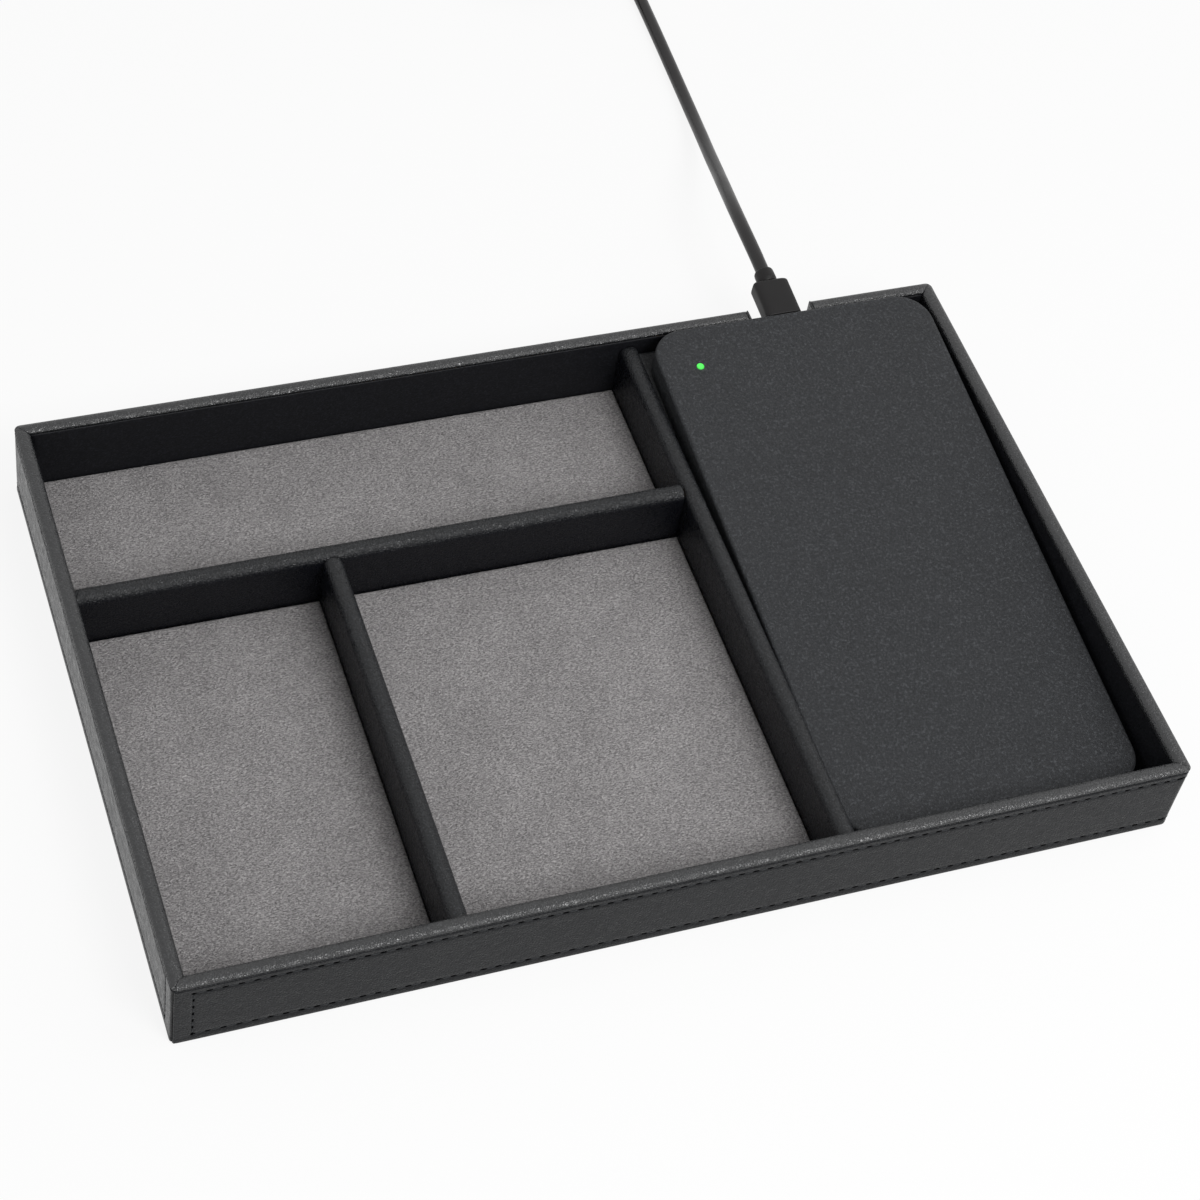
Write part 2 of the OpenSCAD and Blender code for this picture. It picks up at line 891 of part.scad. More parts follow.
module cord_coil() {
    echo(
        coil_gap_mm = wound_gap(coil_route, coil_steps / 2, cord_diameter),
        cord_length_mm = route_length(cord_route) + route_length(coil_route)
            + route_length(tail_route)
    );
    color(cord_colour) tube(coil_route, cord_radius, coil_sides);
}

module cord_tail() {
    color(cord_colour) tube(tail_route, cord_radius, cord_sides);
}

// A strap round the whole bundle of turns, on the side towards the tray
module cord_tie() {
    inner_turn = coil_radius - coil_pitch * coil_turns / 2 - cord_radius;
    sag = inner_turn - sqrt(inner_turn * inner_turn - tie_width * tie_width / 4);
    near = inner_turn - sag - tie_room;
    far = coil_radius + cord_radius + tie_room;
    high = coil_low + coil_pitch + cord_radius + tie_rest;
    tall = high - tie_thick;
    color("#1b1b1d") translate([coil_centre.x, coil_centre.y, 0]) rotate(tie_angle)
        translate([(near + far) / 2, tie_width / 2, tie_thick + tall / 2]) rotate([90, 0, 0])
            linear_extrude(tie_width) difference() {
                rounded_rect(
                    far - near + 2 * tie_thick, tall + 2 * tie_thick, tie_round + tie_thick
                );
                rounded_rect(far - near, tall, tie_round);
            }
}

// The far plug's frame: z pointing away from the cord
module at_far_plug(x) {
    translate([x, far_y, far_plug_z]) rotate([0, -90, 0]) rotate(90) children();
}

module far_plug_collar() {
    color(rubber_colour) at_far_plug(far_collar_x)
        cylinder(h = collar_length, d1 = collar_small, d2 = collar_big);
}

module far_plug_body() {
    color(rubber_colour) at_far_plug(far_collar_x - collar_length)
        linear_extrude(far_length) rounded_rect(far_width, far_height, plug_round);
}

module far_plug_shell() {
    color(metal_colour) at_far_plug(far_collar_x - collar_length - far_length) difference() {
        linear_extrude(far_shell_length)
            rounded_rect(far_shell_width, far_shell_height, far_shell_round);
        translate([0, 0, far_shell_wall]) linear_extrude(far_shell_length) rounded_rect(
            far_shell_width - 2 * far_shell_wall, far_shell_height - 2 * far_shell_wall,
            far_shell_round - far_shell_wall / 2
        );
    }
}

module far_plug_tongue() {
    half = far_shell_height / 2 - far_shell_wall;
    color("#e8e8e8") at_far_plug(far_collar_x - collar_length - far_length) box(
        [-far_shell_width / 2 + far_shell_wall + far_tongue_fit, -half, far_shell_wall],
        [far_shell_width / 2 - far_shell_wall - far_tongue_fit, -far_tongue_fit,
            far_shell_length - far_tongue_fit]
    );
}

felt_base();
base_board();
front_board();
back_board();
left_board();
right_board();
front_leather();
back_leather();
left_leather();
right_leather();
rim_binding();
front_lining();
back_lining();
left_lining();
right_lining();
notch_lining();
cross_divider_board();
cross_divider_wrap();
short_divider_board();
short_divider_wrap();
long_divider_board();
long_divider_wrap();
glasses_floor_foam();
glasses_floor_suede();
watch_floor_foam();
watch_floor_suede();
key_floor_foam();
key_floor_suede();
bay_wedge();
bay_cover();
charger_cover();
charger_top_shell();
charger_bottom_shell();
charging_coil();
ferrite_shield();
circuit_board();
board_chips();
status_lamp();
status_light_pipe();
usb_port();
port_tongue();
charger_screws();
charger_feet();
plug_shell();
plug_body();
plug_collar();
cord();
cord_coil();
cord_tail();
cord_tie();
far_plug_collar();
far_plug_body();
far_plug_shell();
far_plug_tongue();
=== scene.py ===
import math

import bmesh
import bpy
import numpy as np
from mathutils import Matrix, Vector, noise


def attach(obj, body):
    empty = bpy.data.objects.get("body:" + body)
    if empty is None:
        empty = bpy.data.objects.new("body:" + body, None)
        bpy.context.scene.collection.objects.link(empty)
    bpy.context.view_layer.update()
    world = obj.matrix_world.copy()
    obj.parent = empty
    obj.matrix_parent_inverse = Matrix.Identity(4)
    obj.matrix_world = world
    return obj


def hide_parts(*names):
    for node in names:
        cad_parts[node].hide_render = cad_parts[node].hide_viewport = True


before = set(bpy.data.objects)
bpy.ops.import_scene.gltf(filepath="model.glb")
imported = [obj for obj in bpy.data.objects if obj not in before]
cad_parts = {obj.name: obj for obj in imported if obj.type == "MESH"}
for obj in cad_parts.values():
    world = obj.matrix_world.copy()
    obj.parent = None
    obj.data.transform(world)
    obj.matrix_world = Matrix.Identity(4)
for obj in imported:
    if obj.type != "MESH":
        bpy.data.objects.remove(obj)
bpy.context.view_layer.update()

MM = 0.001

# Sizes, in mm
HALF_X, HALF_Y = 150.0, 100.0
CORNER = 2.0
SKIN = 0.8
WALL = 4.3
BASE_TOP = 2.8
DIVIDER_TOP = 25.0
BOARD_TOP = 27.7
NOTCH_X, NOTCH_HALF, NOTCH_FLOOR = 96.35, 10.5, 16.0
TILT = math.radians(5.2)
PAD_X, PAD_FRONT, PAD_LIFT = 96.35, -95.7, 3.3
PAD_WIDTH, PAD_LENGTH, PAD_THICK = 95.4, 186.485, 8.5
PAD_BACK, PAD_UNDER = 191.985, 1.6
PORT_Z = PAD_UNDER + 4.62
PLUG_FRONT = PAD_BACK + 0.3
PLUG_LENGTH, COLLAR_LENGTH = 14.5, 5.0
CORD = 4.5
COVER_SPARE, RIM_SPARE = 0.02, 0.06


def placed(name, data):
    """A new object in the scene."""
    made = bpy.data.objects.new(name, data)
    bpy.context.scene.collection.objects.link(made)
    return made


# Camera
def make_camera():
    data = bpy.data.cameras.new("camera")
    data.lens = 87.885
    data.sensor_width = 36
    data.clip_start, data.clip_end = 0.01, 50
    cam = placed("camera", data)
    cam.location = (-0.25095, -0.48218, 0.69084)
    cam.rotation_euler = [math.radians(a) for a in (38.709, -7.3197, -18.6411)]
    bpy.context.scene.camera = cam


make_camera()


# Materials
def new_material(name):
    """A material, its node tree and its shader."""
    mat = bpy.data.materials.new(name)
    mat.use_nodes = True
    return mat, mat.node_tree, mat.node_tree.nodes["Principled BSDF"]


def feed(tree, node, inputs):
    """Gives a node's inputs constants, or links them to the sockets of other nodes."""
    for key, value in inputs.items():
        if isinstance(value, bpy.types.NodeSocket):
            tree.links.new(value, node.inputs[key])
        else:
            node.inputs[key].default_value = value


def object_coords(tree):
    return tree.nodes.new("ShaderNodeTexCoord").outputs["Object"]


def pattern(tree, kind, scale, coords=None, **inputs):
    node = tree.nodes.new(kind)
    if coords is None:
        coords = object_coords(tree)
    feed(tree, node, {"Scale": scale, "Vector": coords, **inputs})
    return node


def cloud(tree, scale, coords=None, **inputs):
    """The value of a noise, from 0 to 1."""
    return pattern(tree, "ShaderNodeTexNoise", scale, coords, **inputs).outputs["Fac"]


def stretched(tree, scale):
    """Object coordinates scaled differently along each axis."""
    mapping = tree.nodes.new("ShaderNodeMapping")
    feed(tree, mapping, {"Scale": scale, "Vector": object_coords(tree)})
    return mapping.outputs["Vector"]


def ramp(tree, value, low, high, out_low, out_high):
    node = tree.nodes.new("ShaderNodeMapRange")
    feed(tree, node, {
        "Value": value, "From Min": low, "From Max": high, "To Min": out_low, "To Max": out_high})
    return node.outputs["Result"]


def spread(tree, value, out_low=0, out_high=1):
    """A noise's usual range, 0.3 to 0.7, brought to another range."""
    return ramp(tree, value, 0.3, 0.7, out_low, out_high)


def mixed(tree, inputs, kind="MIX"):
    node = tree.nodes.new("ShaderNodeMix")
    node.data_type = "RGBA"
    node.blend_type = kind
    feed(tree, node, {
        key: (*value, 1) if isinstance(value, tuple) else value for key, value in inputs.items()})
    return node.outputs[2]


def blend_colour(tree, factor, a, b):
    return mixed(tree, {"Factor": factor, 6: a, 7: b})


def multiplied(tree, colour, amount):
    """A colour socket made darker or lighter by a value socket around 1."""
    return mixed(tree, {"Factor": 1.0, 6: colour, 7: amount}, "MULTIPLY")


def scaled(colour, k):
    return tuple(min(1.0, c * k) for c in colour)


def bump_chain(tree, layers):
    """Bump nodes one after another; each layer is (height socket, distance in mm)."""
    last = None
    for height, distance in layers:
        node = tree.nodes.new("ShaderNodeBump")
        feed(tree, node, {"Distance": distance * MM, "Strength": 1.0, "Height": height})
        if last is not None:
            feed(tree, node, {"Normal": last})
        last = node.outputs["Normal"]
    return last


def wobbled(tree, scale, amount):
    """Object coordinates pushed about by a noise, so that a pattern on them looks grown."""
    coords = object_coords(tree)
    push = pattern(tree, "ShaderNodeTexNoise", scale, coords, Detail=2.0)
    shift = tree.nodes.new("ShaderNodeVectorMath")
    shift.operation = "MULTIPLY_ADD"
    feed(tree, shift, {0: push.outputs["Color"], 1: (amount * MM,) * 3, 2: coords})
    return shift.outputs["Vector"]


def rubbed_and_highlit_edges(tree, colour, light, amount):
    """The colour made lighter where the surface is sharply convex: some rubbing and a painted highlight
    along the edges.
    """
    shape = tree.nodes.new("ShaderNodeNewGeometry").outputs["Pointiness"]
    return blend_colour(tree, ramp(tree, shape, 0.52, 0.60, 0, amount), colour, light)


def leather(
    name, colour, rough, grain=0.75, depth=0.1, mottle=0.05, valley_shade=0.5, edge_rub_and_highlight=0.25, gloss=0.3,
    grain_and_glints=0.3, sides=None,
):
    """Pebbled leather: cells of about the grain's size in mm, creases, grain tone with painted glints,
    painted shade in the cells' valleys, and edges lightened by some rubbing and a painted highlight.

    The upright sides take a colour of their own where one is given: painted shade, darker than the lit
    tops.
    """
    mat, tree, bsdf = new_material(name)
    cells = pattern(
        tree, "ShaderNodeTexVoronoi", 1000 / grain, wobbled(tree, 900, 0.5), Randomness=0.9)
    cells.feature = "DISTANCE_TO_EDGE"
    edge = cells.outputs["Distance"]
    fine = cloud(tree, 1500, Detail=3.0, Roughness=0.6)
    crease = cloud(tree, 380, Detail=5.0, Distortion=0.8)
    shade = blend_colour(
        tree, spread(tree, cloud(tree, 45, Detail=4.0)), scaled(colour, 1 - mottle),
        scaled(colour, 1 + mottle))
    shade = multiplied(tree, shade, ramp(tree, fine, 0.38, 0.65, 1 - grain_and_glints, 1 + grain_and_glints))
    # Sparse bright specks: painted glints of the grain's sheen.
    specks = ramp(tree, cloud(tree, 1250, Detail=1.0), 0.55, 0.68, 0, grain_and_glints)
    shade = blend_colour(tree, specks, shade, scaled(colour, 4.5))
    # Painted shade: the grain's valleys, along the cells' edges, darkened.
    shade = blend_colour(tree, ramp(tree, edge, 0.02, 0.22, valley_shade, 0), shade, scaled(colour, 0.35))
    # Sharply convex edges lightened: some rubbing and a painted highlight.
    shade = rubbed_and_highlit_edges(tree, shade, scaled(colour, 2.2), edge_rub_and_highlight)
    # Painted shade: upright faces take the given sides colour, the tops keep the lit colour.
    if sides:
        facing = tree.nodes.new("ShaderNodeSeparateXYZ")
        feed(tree, facing, {0: tree.nodes.new("ShaderNodeNewGeometry").outputs["Normal"]})
        shade = blend_colour(tree, ramp(tree, facing.outputs["Z"], 0.2, 0.9, 0, 1), sides, shade)
    relief = bump_chain(tree, [
        (spread(tree, crease), depth * 0.9), (ramp(tree, edge, 0, 0.35, 0, 1), depth),
        (fine, depth * 0.6)])
    feed(tree, bsdf, {
        "Base Color": shade, "Roughness": spread(tree, crease, rough - 0.08, rough + 0.08),
        "Specular IOR Level": gloss, "Normal": relief})
    return mat


def suede(name, colour):
    """Brushed microsuede: short wrinkles across the tray, a fine nap and soft patches."""
    mat, tree, bsdf = new_material(name)
    along = stretched(tree, (0.5, 1.0, 1.0))
    nap = cloud(tree, 3400, along, Detail=2.0, Roughness=0.6)
    wrinkle = cloud(tree, 2300, along, Detail=2.0, Distortion=0.9)
    patch = cloud(tree, 70, Detail=5.0, Roughness=0.65)
    shade = blend_colour(tree, spread(tree, patch), scaled(colour, 0.90), scaled(colour, 1.10))
    shade = multiplied(tree, shade, ramp(tree, wrinkle, 0.36, 0.64, 0.62, 1.34))
    shade = multiplied(tree, shade, ramp(tree, nap, 0.35, 0.65, 0.70, 1.34))
    relief = bump_chain(tree, [(spread(tree, wrinkle), 0.28), (spread(tree, nap), 0.12)])
    feed(tree, bsdf, {
        "Base Color": shade, "Roughness": 0.8, "Specular IOR Level": 0.3, "Sheen Weight": 0.1,
        "Sheen Roughness": 0.5, "Normal": relief})
    return mat


def moulded(name, colour, rough, depth=0.02, scale=1800, specular=0.5):
    """Moulded plastic or rubber with a fine texture and slightly uneven gloss."""
    mat, tree, bsdf = new_material(name)
    broad = cloud(tree, 90, Detail=3.0)
    feed(tree, bsdf, {
        "Base Color": blend_colour(
            tree, spread(tree, broad), scaled(colour, 0.9), scaled(colour, 1.1)),
        "Roughness": spread(tree, broad, rough - 0.05, rough + 0.06),
        "Specular IOR Level": specular,
        "Normal": bump_chain(tree, [(cloud(tree, scale, Detail=2.0), depth)])})
    return mat


def metal(name, colour, rough, brushed=(1.0, 1.0, 12.0)):
    """Brushed metal: streaks across one axis."""
    mat, tree, bsdf = new_material(name)
    streak = cloud(tree, 900, stretched(tree, brushed), Detail=3.0)
    feed(tree, bsdf, {
        "Base Color": blend_colour(tree, streak, scaled(colour, 0.85), scaled(colour, 1.1)),
        "Roughness": spread(tree, streak, rough - 0.06, rough + 0.08),
        "Metallic": 1.0,
        "Normal": bump_chain(tree, [(streak, 0.008)])})
    return mat


def fibres(name, colour, scale, depth, rough=0.9, gloss=0.2):
    """Felt, foam or pressed fibre: a rough mix of two noises."""
    mat, tree, bsdf = new_material(name)
    strands = cloud(tree, scale, Detail=6.0, Roughness=0.7, Distortion=1.5)
    specks = pattern(tree, "ShaderNodeTexVoronoi", scale * 0.8).outputs["Distance"]
    tone = blend_colour(tree, spread(tree, strands), scaled(colour, 0.7), scaled(colour, 1.3))
    feed(tree, bsdf, {
        "Base Color": blend_colour(
            tree, ramp(tree, specks, 0, 0.6, 0.35, 0), tone, scaled(colour, 0.6)),
        "Roughness": rough,
        "Specular IOR Level": gloss,
        "Normal": bump_chain(tree, [(strands, depth)])})
    return mat


def glowing(name, colour, glow, strength):
    """A clear green lens, lit from behind and brighter in its middle."""
    mat, tree, bsdf = new_material(name)
    place = tree.nodes.new("ShaderNodeMapping")
    feed(tree, place, {
        "Location": (-0.5, -0.5, 0), "Scale": (1, 1, 0),
        "Vector": tree.nodes.new("ShaderNodeTexCoord").outputs["Generated"]})
    reach = tree.nodes.new("ShaderNodeVectorMath")
    reach.operation = "LENGTH"
    feed(tree, reach, {0: place.outputs["Vector"]})
    feed(tree, bsdf, {
        "Base Color": blend_colour(tree, cloud(tree, 900, Detail=2.0), scaled(colour, 0.9), colour),
        "Roughness": 0.4,
        "Specular IOR Level": 0.2,
        "Emission Color": (*glow, 1),
        "Emission Strength": ramp(
            tree, reach.outputs["Value"], 0.26, 0.5, strength, 0.45 * strength)})
    return mat


M = {
    "skin": leather(
        "skin_leather", (0.0148, 0.0157, 0.0174), 0.30, 0.9, 0.05, valley_shade=0.3, edge_rub_and_highlight=0.3, gloss=0.10,
        grain_and_glints=0.18),
    "rim": leather(
        "rim_leather", (0.0145, 0.0153, 0.0169), 0.25, 0.75, 0.09, gloss=0.62, grain_and_glints=0.26),
    # The dividers' upright sides are painted near black as shade.
    "divider": leather(
        "divider_leather", (0.016, 0.017, 0.0188), 0.28, 0.75, 0.10, edge_rub_and_highlight=0.1, gloss=0.26,
        grain_and_glints=0.34, sides=(0.0036, 0.0041, 0.0062)),
    "lining": leather(
        "lining_leather", (0.0068, 0.0072, 0.0092), 0.55, 0.9, 0.05, edge_rub_and_highlight=0, gloss=0.2),
    "pad": leather(
        "pad_leather", (0.038, 0.0398, 0.0430), 0.48, 0.6, 0.12, 0.05, 0.45, 0.5, 0.18, 0.3),
    "bed": leather("bed_leather", (0.032, 0.0335, 0.0355), 0.5, 0.7, 0.08),
    "thread": fibres("thread_yarn", (0.034, 0.036, 0.039), 2500, 0.05, 0.6),
    # Near black: painted shade for the needle holes and the gap of the corner seam.
    "hole": fibres("needle_hole_shade", (0.003, 0.003, 0.0034), 2500, 0.05, 0.9, 0.0),
    "suede": suede("floor_suede", (0.342, 0.328, 0.330)),
    "foam": fibres("pale_foam", (0.68, 0.65, 0.57), 900, 0.08),
    "felt": fibres("base_felt", (0.023, 0.023, 0.025), 1300, 0.12),
    "board": fibres("fibre_board", (0.38, 0.25, 0.12), 700, 0.05, 0.75),
    "dyed_board": fibres("dyed_board", (0.012, 0.012, 0.0128), 700, 0.05, 0.75),
    "plastic": moulded("black_plastic", (0.02, 0.02, 0.022), 0.5, 0.03, 1500),
    "white": moulded("white_plastic", (0.78, 0.78, 0.77), 0.35, 0.01),
    "rubber": moulded("foot_rubber", (0.015, 0.015, 0.016), 0.75, 0.05, 1200),
    "plug": moulded("plug_rubber", (0.008, 0.0073, 0.0076), 0.45, 0.015, 2200, 0.25),
    "cord": moulded("cord_rubber", (0.014, 0.0127, 0.0131), 0.32, 0.012, 1500, 0.36),
    "strap": fibres("hook_strap", (0.012, 0.012, 0.013), 1800, 0.12),
    "steel": metal("brushed_steel", (0.55, 0.56, 0.58), 0.3),
    "copper": metal("enamelled_copper", (0.7, 0.32, 0.17), 0.35, (30.0, 30.0, 1.0)),
    "ferrite": moulded("grey_ferrite", (0.045, 0.045, 0.05), 0.6, 0.03, 1000),
    "circuit": moulded("circuit_lacquer", (0.02, 0.11, 0.045), 0.3, 0.01, 900),
    "chip": moulded("chip_plastic", (0.01, 0.01, 0.011), 0.45, 0.02, 1500),
    "lamp": glowing("green_lens", (0.03, 0.3, 0.04), (0.11, 0.98, 0.13), 1.0),
}

NODE_MATERIALS = {
    "board": [
        "base_board", "front_board", "back_board", "left_board", "right_board",
        "cross_divider_board", "short_divider_board", "long_divider_board",
    ],
    "dyed_board": ["bay_wedge"],
    "felt": ["felt_base"],
    "foam": ["glasses_floor_foam", "watch_floor_foam", "key_floor_foam"],
    "plastic": ["charger_top_shell", "charger_bottom_shell", "port_tongue"],
    "copper": ["charging_coil"],
    "ferrite": ["ferrite_shield"],
    "circuit": ["circuit_board"],
    "chip": ["board_chips"],
    "lamp": ["status_lamp", "status_light_pipe"],
    "steel": ["usb_port", "charger_screws", "plug_shell", "far_plug_shell"],
    "rubber": ["charger_feet"],
    "white": ["far_plug_tongue"],
}
for key, names in NODE_MATERIALS.items():
    for node_name in names:
        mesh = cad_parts[node_name].data
        mesh.materials.clear()
        mesh.materials.append(M[key])


# Mesh helpers, in mm
def make_piece(name, verts, faces, material, body, slot, replaces=(), smooth=True, merge=1e-4):
    mesh = bpy.data.meshes.new(name)
    mesh.from_pydata([tuple(c * MM for c in v) for v in verts], [], faces)
    bm = bmesh.new()
    bm.from_mesh(mesh)
    bmesh.ops.remove_doubles(bm, verts=bm.verts, dist=merge * MM)
    bmesh.ops.dissolve_degenerate(bm, edges=bm.edges, dist=merge * MM)
    bmesh.ops.recalc_face_normals(bm, faces=bm.faces)
    for face in bm.faces:
        face.smooth = smooth
    bm.to_mesh(mesh)
    bm.free()
    mesh.materials.append(M[material])
    piece = placed(name, mesh)
    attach(piece, body)
    if replaces:
        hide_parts(*replaces)
    return piece


def loft_faces(rings, sides, first=0, closed=True, caps=True):
    """Faces between rings of the same number of points, numbered one ring after another."""
    faces = []
    for i in range(rings - 1):
        a = first + i * sides
        for k in range(sides if closed else sides - 1):
            k2 = (k + 1) % sides
            faces.append((a + k, a + k2, a + sides + k2, a + sides + k))
    if caps:
        last = first + (rings - 1) * sides
        faces.append(tuple(range(first + sides - 1, first - 1, -1)))
        faces.append(tuple(range(last, last + sides)))
    return faces


def quarter(cx, cy, radius, start, steps=8):
    """Points of a quarter circle that starts at an angle in degrees."""
    angles = [math.radians(start + 90 * k / steps) for k in range(steps + 1)]
    return [(cx + radius * math.cos(a), cy + radius * math.sin(a)) for a in angles]


def ripple(p, scale, seed=0.0):
    """Smooth noise from about -1 to 1 at a point in mm."""
    return noise.noise(Vector((p[0] / scale + seed, p[1] / scale - seed, p[2] / scale + 2 * seed)))


def cut_box(piece, low, high):
    """Cuts a box, given in mm, out of a piece."""
    bm = bmesh.new()
    bmesh.ops.create_cube(bm, size=1)
    mesh = bpy.data.meshes.new("cutter")
    bm.to_mesh(mesh)
    bm.free()
    cutter = placed("cutter", mesh)
    size = [(b - a) * MM for a, b in zip(low, high)]
    cutter.matrix_world = Matrix.LocRotScale(
        Vector([(a + b) / 2 * MM for a, b in zip(low, high)]), None, Vector(size))
    modifier = piece.modifiers.new("cut", "BOOLEAN")
    modifier.object = cutter
    modifier.operation = "DIFFERENCE"
    modifier.solver = "EXACT"
    apply_modifiers(piece)
    bpy.data.objects.remove(cutter)


def cut_notch(piece):
    """Cuts the cable notch, and the leather that lines it, out of a piece of the back wall."""
    half = NOTCH_HALF + SKIN
    cut_box(piece, (NOTCH_X - half, 90, NOTCH_FLOOR - SKIN), (NOTCH_X + half, 110, 40))


def apply_modifiers(piece):
    bpy.context.view_layer.update()
    graph = bpy.context.evaluated_depsgraph_get()
    made = bpy.data.meshes.new_from_object(piece.evaluated_get(graph))
    piece.modifiers.clear()
    piece.data = made


# The cord
def slope_point(x, y, z):
    """A point of the sloping frame in the tray's frame, in mm."""
    return (
        PAD_X + x,
        PAD_FRONT + y * math.cos(TILT) - z * math.sin(TILT),
        PAD_LIFT + y * math.sin(TILT) + z * math.cos(TILT),
    )


COIL_CENTRE, COIL_RADIUS, COIL_PITCH, COIL_TURNS, COIL_STEPS = (83, 321), 32, 4.7, 7.25, 24
COIL_LOW = 1 + CORD / 2
CORD_START = PLUG_FRONT + PLUG_LENGTH + COLLAR_LENGTH
CORD_POINTS = [
    (96.4, 126, 29.45), (96.9, 136, 28.9), (98.5, 148, 26.3), (101.2, 161, 21.7),
    (104.3, 174, 16.3), (107.4, 188, 10.9), (110, 202, 6.8), (111.9, 216, 4),
    (113.1, 230, 2.6), (113.8, 244, 2.25), (114.3, 258, 2.25), (114.7, 272, 2.25),
    (115, 286, 2.3), (115, 300, 2.6), (115, 310, 3.05),
]
TAIL_POINTS = [
    (74, 353, 7.7), (66, 353, 6.3), (58, 353, 4.3), (50, 353, 2.9), (42, 353, 2.9), (36, 353, 3.7),
]
FAR_X, FAR_Y, FAR_Z = 27.0, 353.0, 4.0


def coil_point(t):
    reach = COIL_RADIUS - COIL_PITCH * min(t, COIL_TURNS - t)
    climb = min(1, max(0, 0.5 + (t - COIL_TURNS / 2) / 0.5))
    return (
        COIL_CENTRE[0] + reach * math.cos(2 * math.pi * t),
        COIL_CENTRE[1] + reach * math.sin(2 * math.pi * t),
        COIL_LOW + COIL_PITCH * climb,
    )


def cord_route():
    exit_point = slope_point(0, CORD_START, PORT_Z)
    leave = slope_point(0, CORD_START + 1.5 * CORD, PORT_Z)
    start = (COIL_CENTRE[0] + COIL_RADIUS, COIL_CENTRE[1], COIL_LOW)
    end = (COIL_CENTRE[0], COIL_CENTRE[1] + COIL_RADIUS, COIL_LOW + COIL_PITCH)
    steps = int(COIL_TURNS * COIL_STEPS)
    return (
        [exit_point, leave] + CORD_POINTS + [(start[0], start[1] - CORD, start[2]), start]
        + [coil_point(k / COIL_STEPS) for k in range(1, steps)]
        + [end, (end[0] - CORD, end[1], end[2])] + TAIL_POINTS
        + [(FAR_X + CORD, FAR_Y, FAR_Z), (FAR_X, FAR_Y, FAR_Z)]
    )


def make_cord():
    data = bpy.data.curves.new("cord_run", "CURVE")
    data.dimensions = "3D"
    data.resolution_u = 5
    data.bevel_depth = CORD / 2 * MM
    data.bevel_resolution = 5
    data.use_fill_caps = True
    route = cord_route()
    spline = data.splines.new("BEZIER")
    spline.bezier_points.add(len(route) - 1)
    for point, place in zip(spline.bezier_points, route):
        point.co = [c * MM for c in place]
        point.handle_left_type = point.handle_right_type = "AUTO"
    data.materials.append(M["cord"])
    piece = placed("cord_run", data)
    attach(piece, "cable")
    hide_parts("cord", "cord_coil", "cord_tail")
    return piece


# Plug and far plug
def superellipse(width, height, power, count):
    points = []
    for k in range(count):
        a = 2 * math.pi * k / count
        c, s = math.cos(a), math.sin(a)
        points.append((
            width / 2 * math.copysign(abs(c) ** (2 / power), c),
            height / 2 * math.copysign(abs(s) ** (2 / power), s),
        ))
    return points


def swept(stations, power, count, place):
    """Rings of superellipses; a station is (distance, width, height), place puts a point."""
    verts = []
    for along, width, height in stations:
        for x, y in superellipse(width, height, power, count):
            verts.append(place(x, y, along))
    return verts, loft_faces(len(stations), count)


def on_port(x, y, along):
    return slope_point(x, PLUG_FRONT + along, PORT_Z + y)


def rounded_ends(length, width, height, round_start, round_end, steps=7):
    """Stations of a body whose two ends are rounded by the given radii."""
    stations = []
    for k in range(steps + 1):
        a = math.pi / 2 * k / steps
        inset = round_start * (1 - math.sin(a))
        stations.append((round_start * (1 - math.cos(a)), width - 2 * inset, height - 2 * inset))
    for k in range(steps + 1):
        a = math.pi / 2 * k / steps
        inset = round_end * (1 - math.cos(a))
        stations.append((
            length - round_end * (1 - math.sin(a)), width - 2 * inset, height - 2 * inset))
    return stations


def make_moulding(name, made, node):
    return make_piece(name, *made, "plug", "cable", "cord_rubber", [node])


def make_plug_housing():
    stations = rounded_ends(PLUG_LENGTH, 12, 6.4, 0.35, 1.3)
    return make_moulding("plug_housing", swept(stations, 5.5, 72, on_port), "plug_body")


def sleeve_stations(length):
    """A strain relief sleeve: a neck at the housing, then a full barrel with a soft mouth."""
    profile = [
        (0.0, 6.0), (0.35, 6.0), (0.6, 6.25), (0.9, 6.5), (1.3, 6.6), (length * 0.5, 6.55),
        (length - 0.9, 6.45), (length - 0.45, 6.3), (length - 0.15, 5.95), (length, 5.3),
        (length, 4.9), (length - 0.5, 4.6),
    ]
    return [(along, d, d) for along, d in profile]


def make_plug_sleeve():
    def place(x, y, along):
        return slope_point(x, PLUG_FRONT + PLUG_LENGTH + along, PORT_Z + y)
    made = swept(sleeve_stations(COLLAR_LENGTH), 2, 40, place)
    return make_moulding("plug_sleeve", made, "plug_collar")


def on_far(x, y, along):
    """A point of the far plug; along runs from the cord's end of its collar to its tip."""
    return (FAR_X - along, FAR_Y + x, FAR_Z + y)


def make_far_sleeve():
    made = swept(
        sleeve_stations(COLLAR_LENGTH), 2, 40, lambda x, y, a: on_far(x, y, COLLAR_LENGTH - a))
    return make_moulding("far_plug_sleeve", made, "far_plug_collar")


def make_far_housing():
    """Rounded ends and three grip grooves near the cord's end."""
    stations = rounded_ends(24, 16, 8, 1.6, 0.5)
    grooves = []
    for centre in (4.5, 6.5, 8.5):
        for shift, depth in ((-0.6, 0), (-0.35, 0.3), (0, 0.42), (0.35, 0.3), (0.6, 0)):
            grooves.append((centre + shift, 16 - 2 * depth, 8 - 2 * depth))
    stations = [s for s in stations if s[0] < 4] + grooves + [s for s in stations if s[0] > 9]
    made = swept(stations, 5, 56, lambda x, y, a: on_far(x, y, COLLAR_LENGTH + a))
    return make_moulding("far_plug_housing", made, "far_plug_body")


